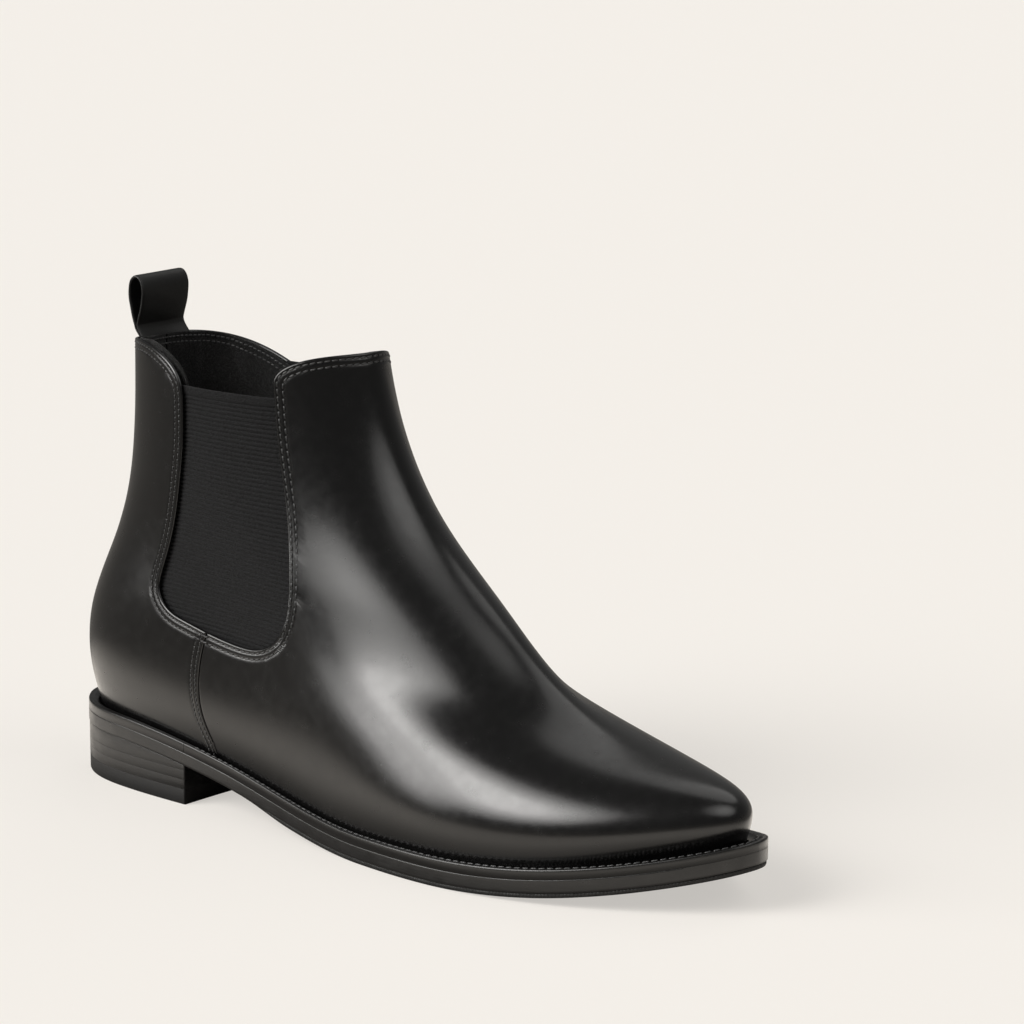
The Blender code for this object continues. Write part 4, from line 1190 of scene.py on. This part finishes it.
def make_heel():
    """Lifts that meet at fine lines, on a rubber top piece with recessed nails."""
    line = 0.04
    marks = [TOP_PIECE_THICK, TOP_PIECE_THICK + GAP + LIFT_THICK,
             TOP_PIECE_THICK + 2 * (GAP + LIFT_THICK)]

    def level(z, extra=0.0):
        return (heel_inset(z) + extra, lambda _, z=z: z)
    for number, low in ((3, marks[0]), (2, marks[1])):
        base, top = low + 0.04, low + GAP + LIFT_THICK - 0.02
        heel_layer(f"heel_lift_{number}",
                   [level(top, line), level(top - 0.14, 0.02), level((top + base) / 2, -0.02),
                    level(base + 0.14, 0.02), level(base, line)], STACK)
    seat = WELT_THICK + GAP + OUTSOLE_THICK
    base = marks[2] + 0.04
    heel_layer("heel_lift_1",
               [(HEEL_INSET + line, lambda x: float(welt_height(x)) - seat - 0.04),
                (HEEL_INSET, lambda x: float(welt_height(x)) - seat - 0.2),
                level(base + 0.14, 0.02), level(base, line)], STACK)
    top = TOP_PIECE_THICK
    piece = heel_layer("heel_top_piece",
                       [level(top, line), level(top - 0.16, 0.0), level(3.0, 0.0),
                        level(0.5, 0.0), level(0.12, 0.16), level(0.0, 0.5)], RUBBER)
    drill(piece, NAIL_PLACES)


def drill(piece, places):
    """Cut the nail holes."""
    cutters = []
    for x, y in places:
        bpy.ops.mesh.primitive_cylinder_add(
            vertices=28, radius=NAIL_HOLE_RADIUS * MM, depth=4 * TOP_PIECE_THICK * MM,
            location=to_metres((x, y, TOP_PIECE_THICK / 2)).tolist())
        cutters.append(bpy.context.object)
        cut = piece.modifiers.new("hole", "BOOLEAN")
        cut.object = cutters[-1]
    graph = bpy.context.evaluated_depsgraph_get()
    mesh = bpy.data.meshes.new_from_object(piece.evaluated_get(graph))
    piece.modifiers.clear()
    piece.data = mesh
    for cutter in cutters:
        bpy.data.objects.remove(cutter, do_unlink=True)


# ------------------------------------------------------------ CAD nodes that stay
def finish_cad_nodes():
    looks = {"sock_liner": SOCK, "insole": FIBREBOARD, "shank": STEEL, "cork_filler": CORK,
             "heel_counter": STIFFENER, "toe_puff": STIFFENER}
    looks.update({f"heel_nail_{n}": STEEL for n in range(1, len(NAIL_PLACES) + 1)})
    for name, look in looks.items():
        node = NODES[name]
        for slot in node.material_slots:
            slot.material = look


# ------------------------------------------------------------ camera, floor and light
CAMERA_AZIMUTH = 40.0
CAMERA_ELEVATION = 12.3
CAMERA_ROLL = 0.67
CAMERA_DISTANCE = 1.951
CAMERA_LENS = 180.8            # mm, on a 36 mm sensor
CAMERA_AIM = (-0.07685, 0.1418, 0.080)


def direction(azimuth, elevation):
    """Unit vector from the boot: azimuth from +X towards +Y, elevation above the floor."""
    a, e = math.radians(azimuth), math.radians(elevation)
    return Vector((math.cos(a) * math.cos(e), math.sin(a) * math.cos(e), math.sin(e)))


def make_camera():
    data = bpy.data.cameras.new("camera")
    data.lens = CAMERA_LENS
    data.sensor_width = 36.0
    data.clip_end = 50.0
    camera = bpy.data.objects.new("camera", data)
    bpy.context.scene.collection.objects.link(camera)
    back = direction(CAMERA_AZIMUTH - 90, CAMERA_ELEVATION)
    right = Vector((0, 0, 1)).cross(back).normalized()
    up = back.cross(right)
    c, s = math.cos(math.radians(CAMERA_ROLL)), math.sin(math.radians(CAMERA_ROLL))
    right, up = right * c + up * s, up * c - right * s
    turn = Matrix((right, up, back)).transposed().to_4x4()
    camera.matrix_world = Matrix.Translation(Vector(CAMERA_AIM) + back * CAMERA_DISTANCE) @ turn
    bpy.context.scene.camera = camera


def softbox(name, azimuth, elevation, spread, radiance):
    """A round soft light, far away, that covers spread degrees of the boot's surroundings."""
    data = bpy.data.lights.new(name, "SUN")
    data.angle = math.radians(spread)
    data.energy = radiance * math.pi * math.sin(data.angle / 2) ** 2
    data.color = LIGHT_COLOUR
    lamp = bpy.data.objects.new(name, data)
    bpy.context.scene.collection.objects.link(lamp)
    lamp.rotation_euler = direction(azimuth, elevation).to_track_quat("Z", "Y").to_euler()


LIGHT_COLOUR = (1.0, 0.985, 0.96)
SKY_RADIANCE = 0.14
# Soft lights: azimuth, elevation, and layers of (spread in degrees, radiance), so that each
# fades out towards its edge.
SOFTBOXES = (("key", -113, 36, ((52, 2.5), (38, 3.5), (24, 5.0))),
             ("side", -137, 14, ((32, 2.5), (18, 4.0))),
             ("fill", 8, 48, ((48, 1.0), (28, 0.8))),
             ("rear", 100, 52, ((40, 0.8),)))
FLOOR_RADIUS = 14.0             # metres
FLOOR_SEEN = (0.862, 0.829, 0.785)
# Painted shade: the floor that the boot's polish mirrors is a dimmed copy of its colour.
FLOOR_PAINTED_DIM = (0.20, 0.19, 0.178)    # what the boot's polish mirrors of it
# Painted reflection: a glowing patch on the floor beside the boot, no lamp, that only reflections see.
FLOOR_PAINTED_GLOW_COLOUR = (1.0, 0.93, 0.84)     # and of the bright patch beside the boot
FLOOR_PAINTED_GLOW = 0.95             # how bright that patch is
FLOOR_GLOW = 0.62              # share of its light that no shadow takes away
FLOOR_SHADED = 0.40            # share of its colour that takes light and shadow


def floor_patch(material, half_length, half_width, outside, inside_value):
    """A value that changes towards the edge of an oval on the floor under the boot."""
    place = add_node(material, "ShaderNodeMapping", {
        "Vector": add_node(material, "ShaderNodeTexCoord").outputs["Object"],
        "Scale": (1 / half_length, 1 / half_width, 1.0)})
    oval = add_node(material, "ShaderNodeTexGradient", {"Vector": place.outputs["Vector"]},
                    gradient_type="SPHERICAL")
    return between(material, oval.outputs["Fac"], outside, inside_value, 0.0, 0.28)


def make_floor_look():
    """Pale to the eye; in reflections it shows painted light: a painted glow makes it bright beside the
    boot and painted shade makes it dim further away.
    """
    made = new_material("floor", FLOOR_SEEN, 0.95, Specular_IOR_Level=0.1)
    # painted reflection: the floor glows beside the boot for reflected rays only, and not under the
    # boot
    painted_glow_beside_boot = floor_patch(made, 0.33, 0.17, 0.0, FLOOR_PAINTED_GLOW)
    painted_glow_off_under_boot = floor_patch(made, 0.20, 0.085, 1.0, 0.0)
    painted_glow_strength = add_node(made, "ShaderNodeMath", {0: painted_glow_beside_boot, 1: painted_glow_off_under_boot},
                     operation="MULTIPLY")
    painted_reflected_floor = add_node(made, "ShaderNodeAddShader", {
        0: add_node(made, "ShaderNodeBsdfDiffuse", {"Color": (*FLOOR_PAINTED_DIM, 1.0)}).outputs["BSDF"],
        1: add_node(made, "ShaderNodeEmission", {
            "Color": (*FLOOR_PAINTED_GLOW_COLOUR, 1.0), "Strength": painted_glow_strength.outputs["Value"]}).outputs["Emission"]})
    seen = add_node(made, "ShaderNodeMixShader", {
        0: add_node(made, "ShaderNodeLightPath").outputs["Is Camera Ray"],
        1: painted_reflected_floor.outputs["Shader"],
        2: made.node_tree.nodes["Principled BSDF"].outputs["BSDF"]})
    output = made.node_tree.nodes["Material Output"]
    made.node_tree.links.new(seen.outputs["Shader"], output.inputs["Surface"])
    glow = made.node_tree.nodes["Principled BSDF"]
    glow.inputs["Base Color"].default_value = (*(c * FLOOR_SHADED for c in FLOOR_SEEN), 1.0)
    glow.inputs["Emission Color"].default_value = (*FLOOR_SEEN, 1.0)
    glow.inputs["Emission Strength"].default_value = FLOOR_GLOW
    return made


def make_studio():
    floor_look = make_floor_look()
    bpy.ops.mesh.primitive_circle_add(vertices=96, radius=FLOOR_RADIUS, fill_type="NGON")
    floor = bpy.context.object
    floor.name = "floor"
    floor.data.materials.append(floor_look)
    world = bpy.data.worlds.new("studio")
    world.use_nodes = True
    sky = world.node_tree.nodes["Background"]
    sky.inputs["Color"].default_value = (*LIGHT_COLOUR, 1.0)
    sky.inputs["Strength"].default_value = SKY_RADIANCE
    bpy.context.scene.world = world
    bpy.context.scene.view_settings.view_transform = "Standard"
    for name, azimuth, elevation, layers in SOFTBOXES:
        for number, (spread, radiance) in enumerate(layers, 1):
            softbox(f"{name}_{number}", azimuth, elevation, spread, radiance)


make_vamp()
make_quarter("lateral", True)
make_quarter("medial", False)
make_gore("lateral", True)
make_gore("medial", False)
make_back_strip()
make_pull_loop()
breast_share = share_at(BREAST_X)
make_rim("welt", breast_share + RIM_GAP, 2 - breast_share - RIM_GAP, share_at(BREAST_X + 4))
make_rim("heel_seat_rand", 2 - breast_share + RIM_GAP, 2 + breast_share - RIM_GAP, None)
make_welt_stitching()
make_sole()
make_heel()
finish_cad_nodes()
make_studio()
make_camera()
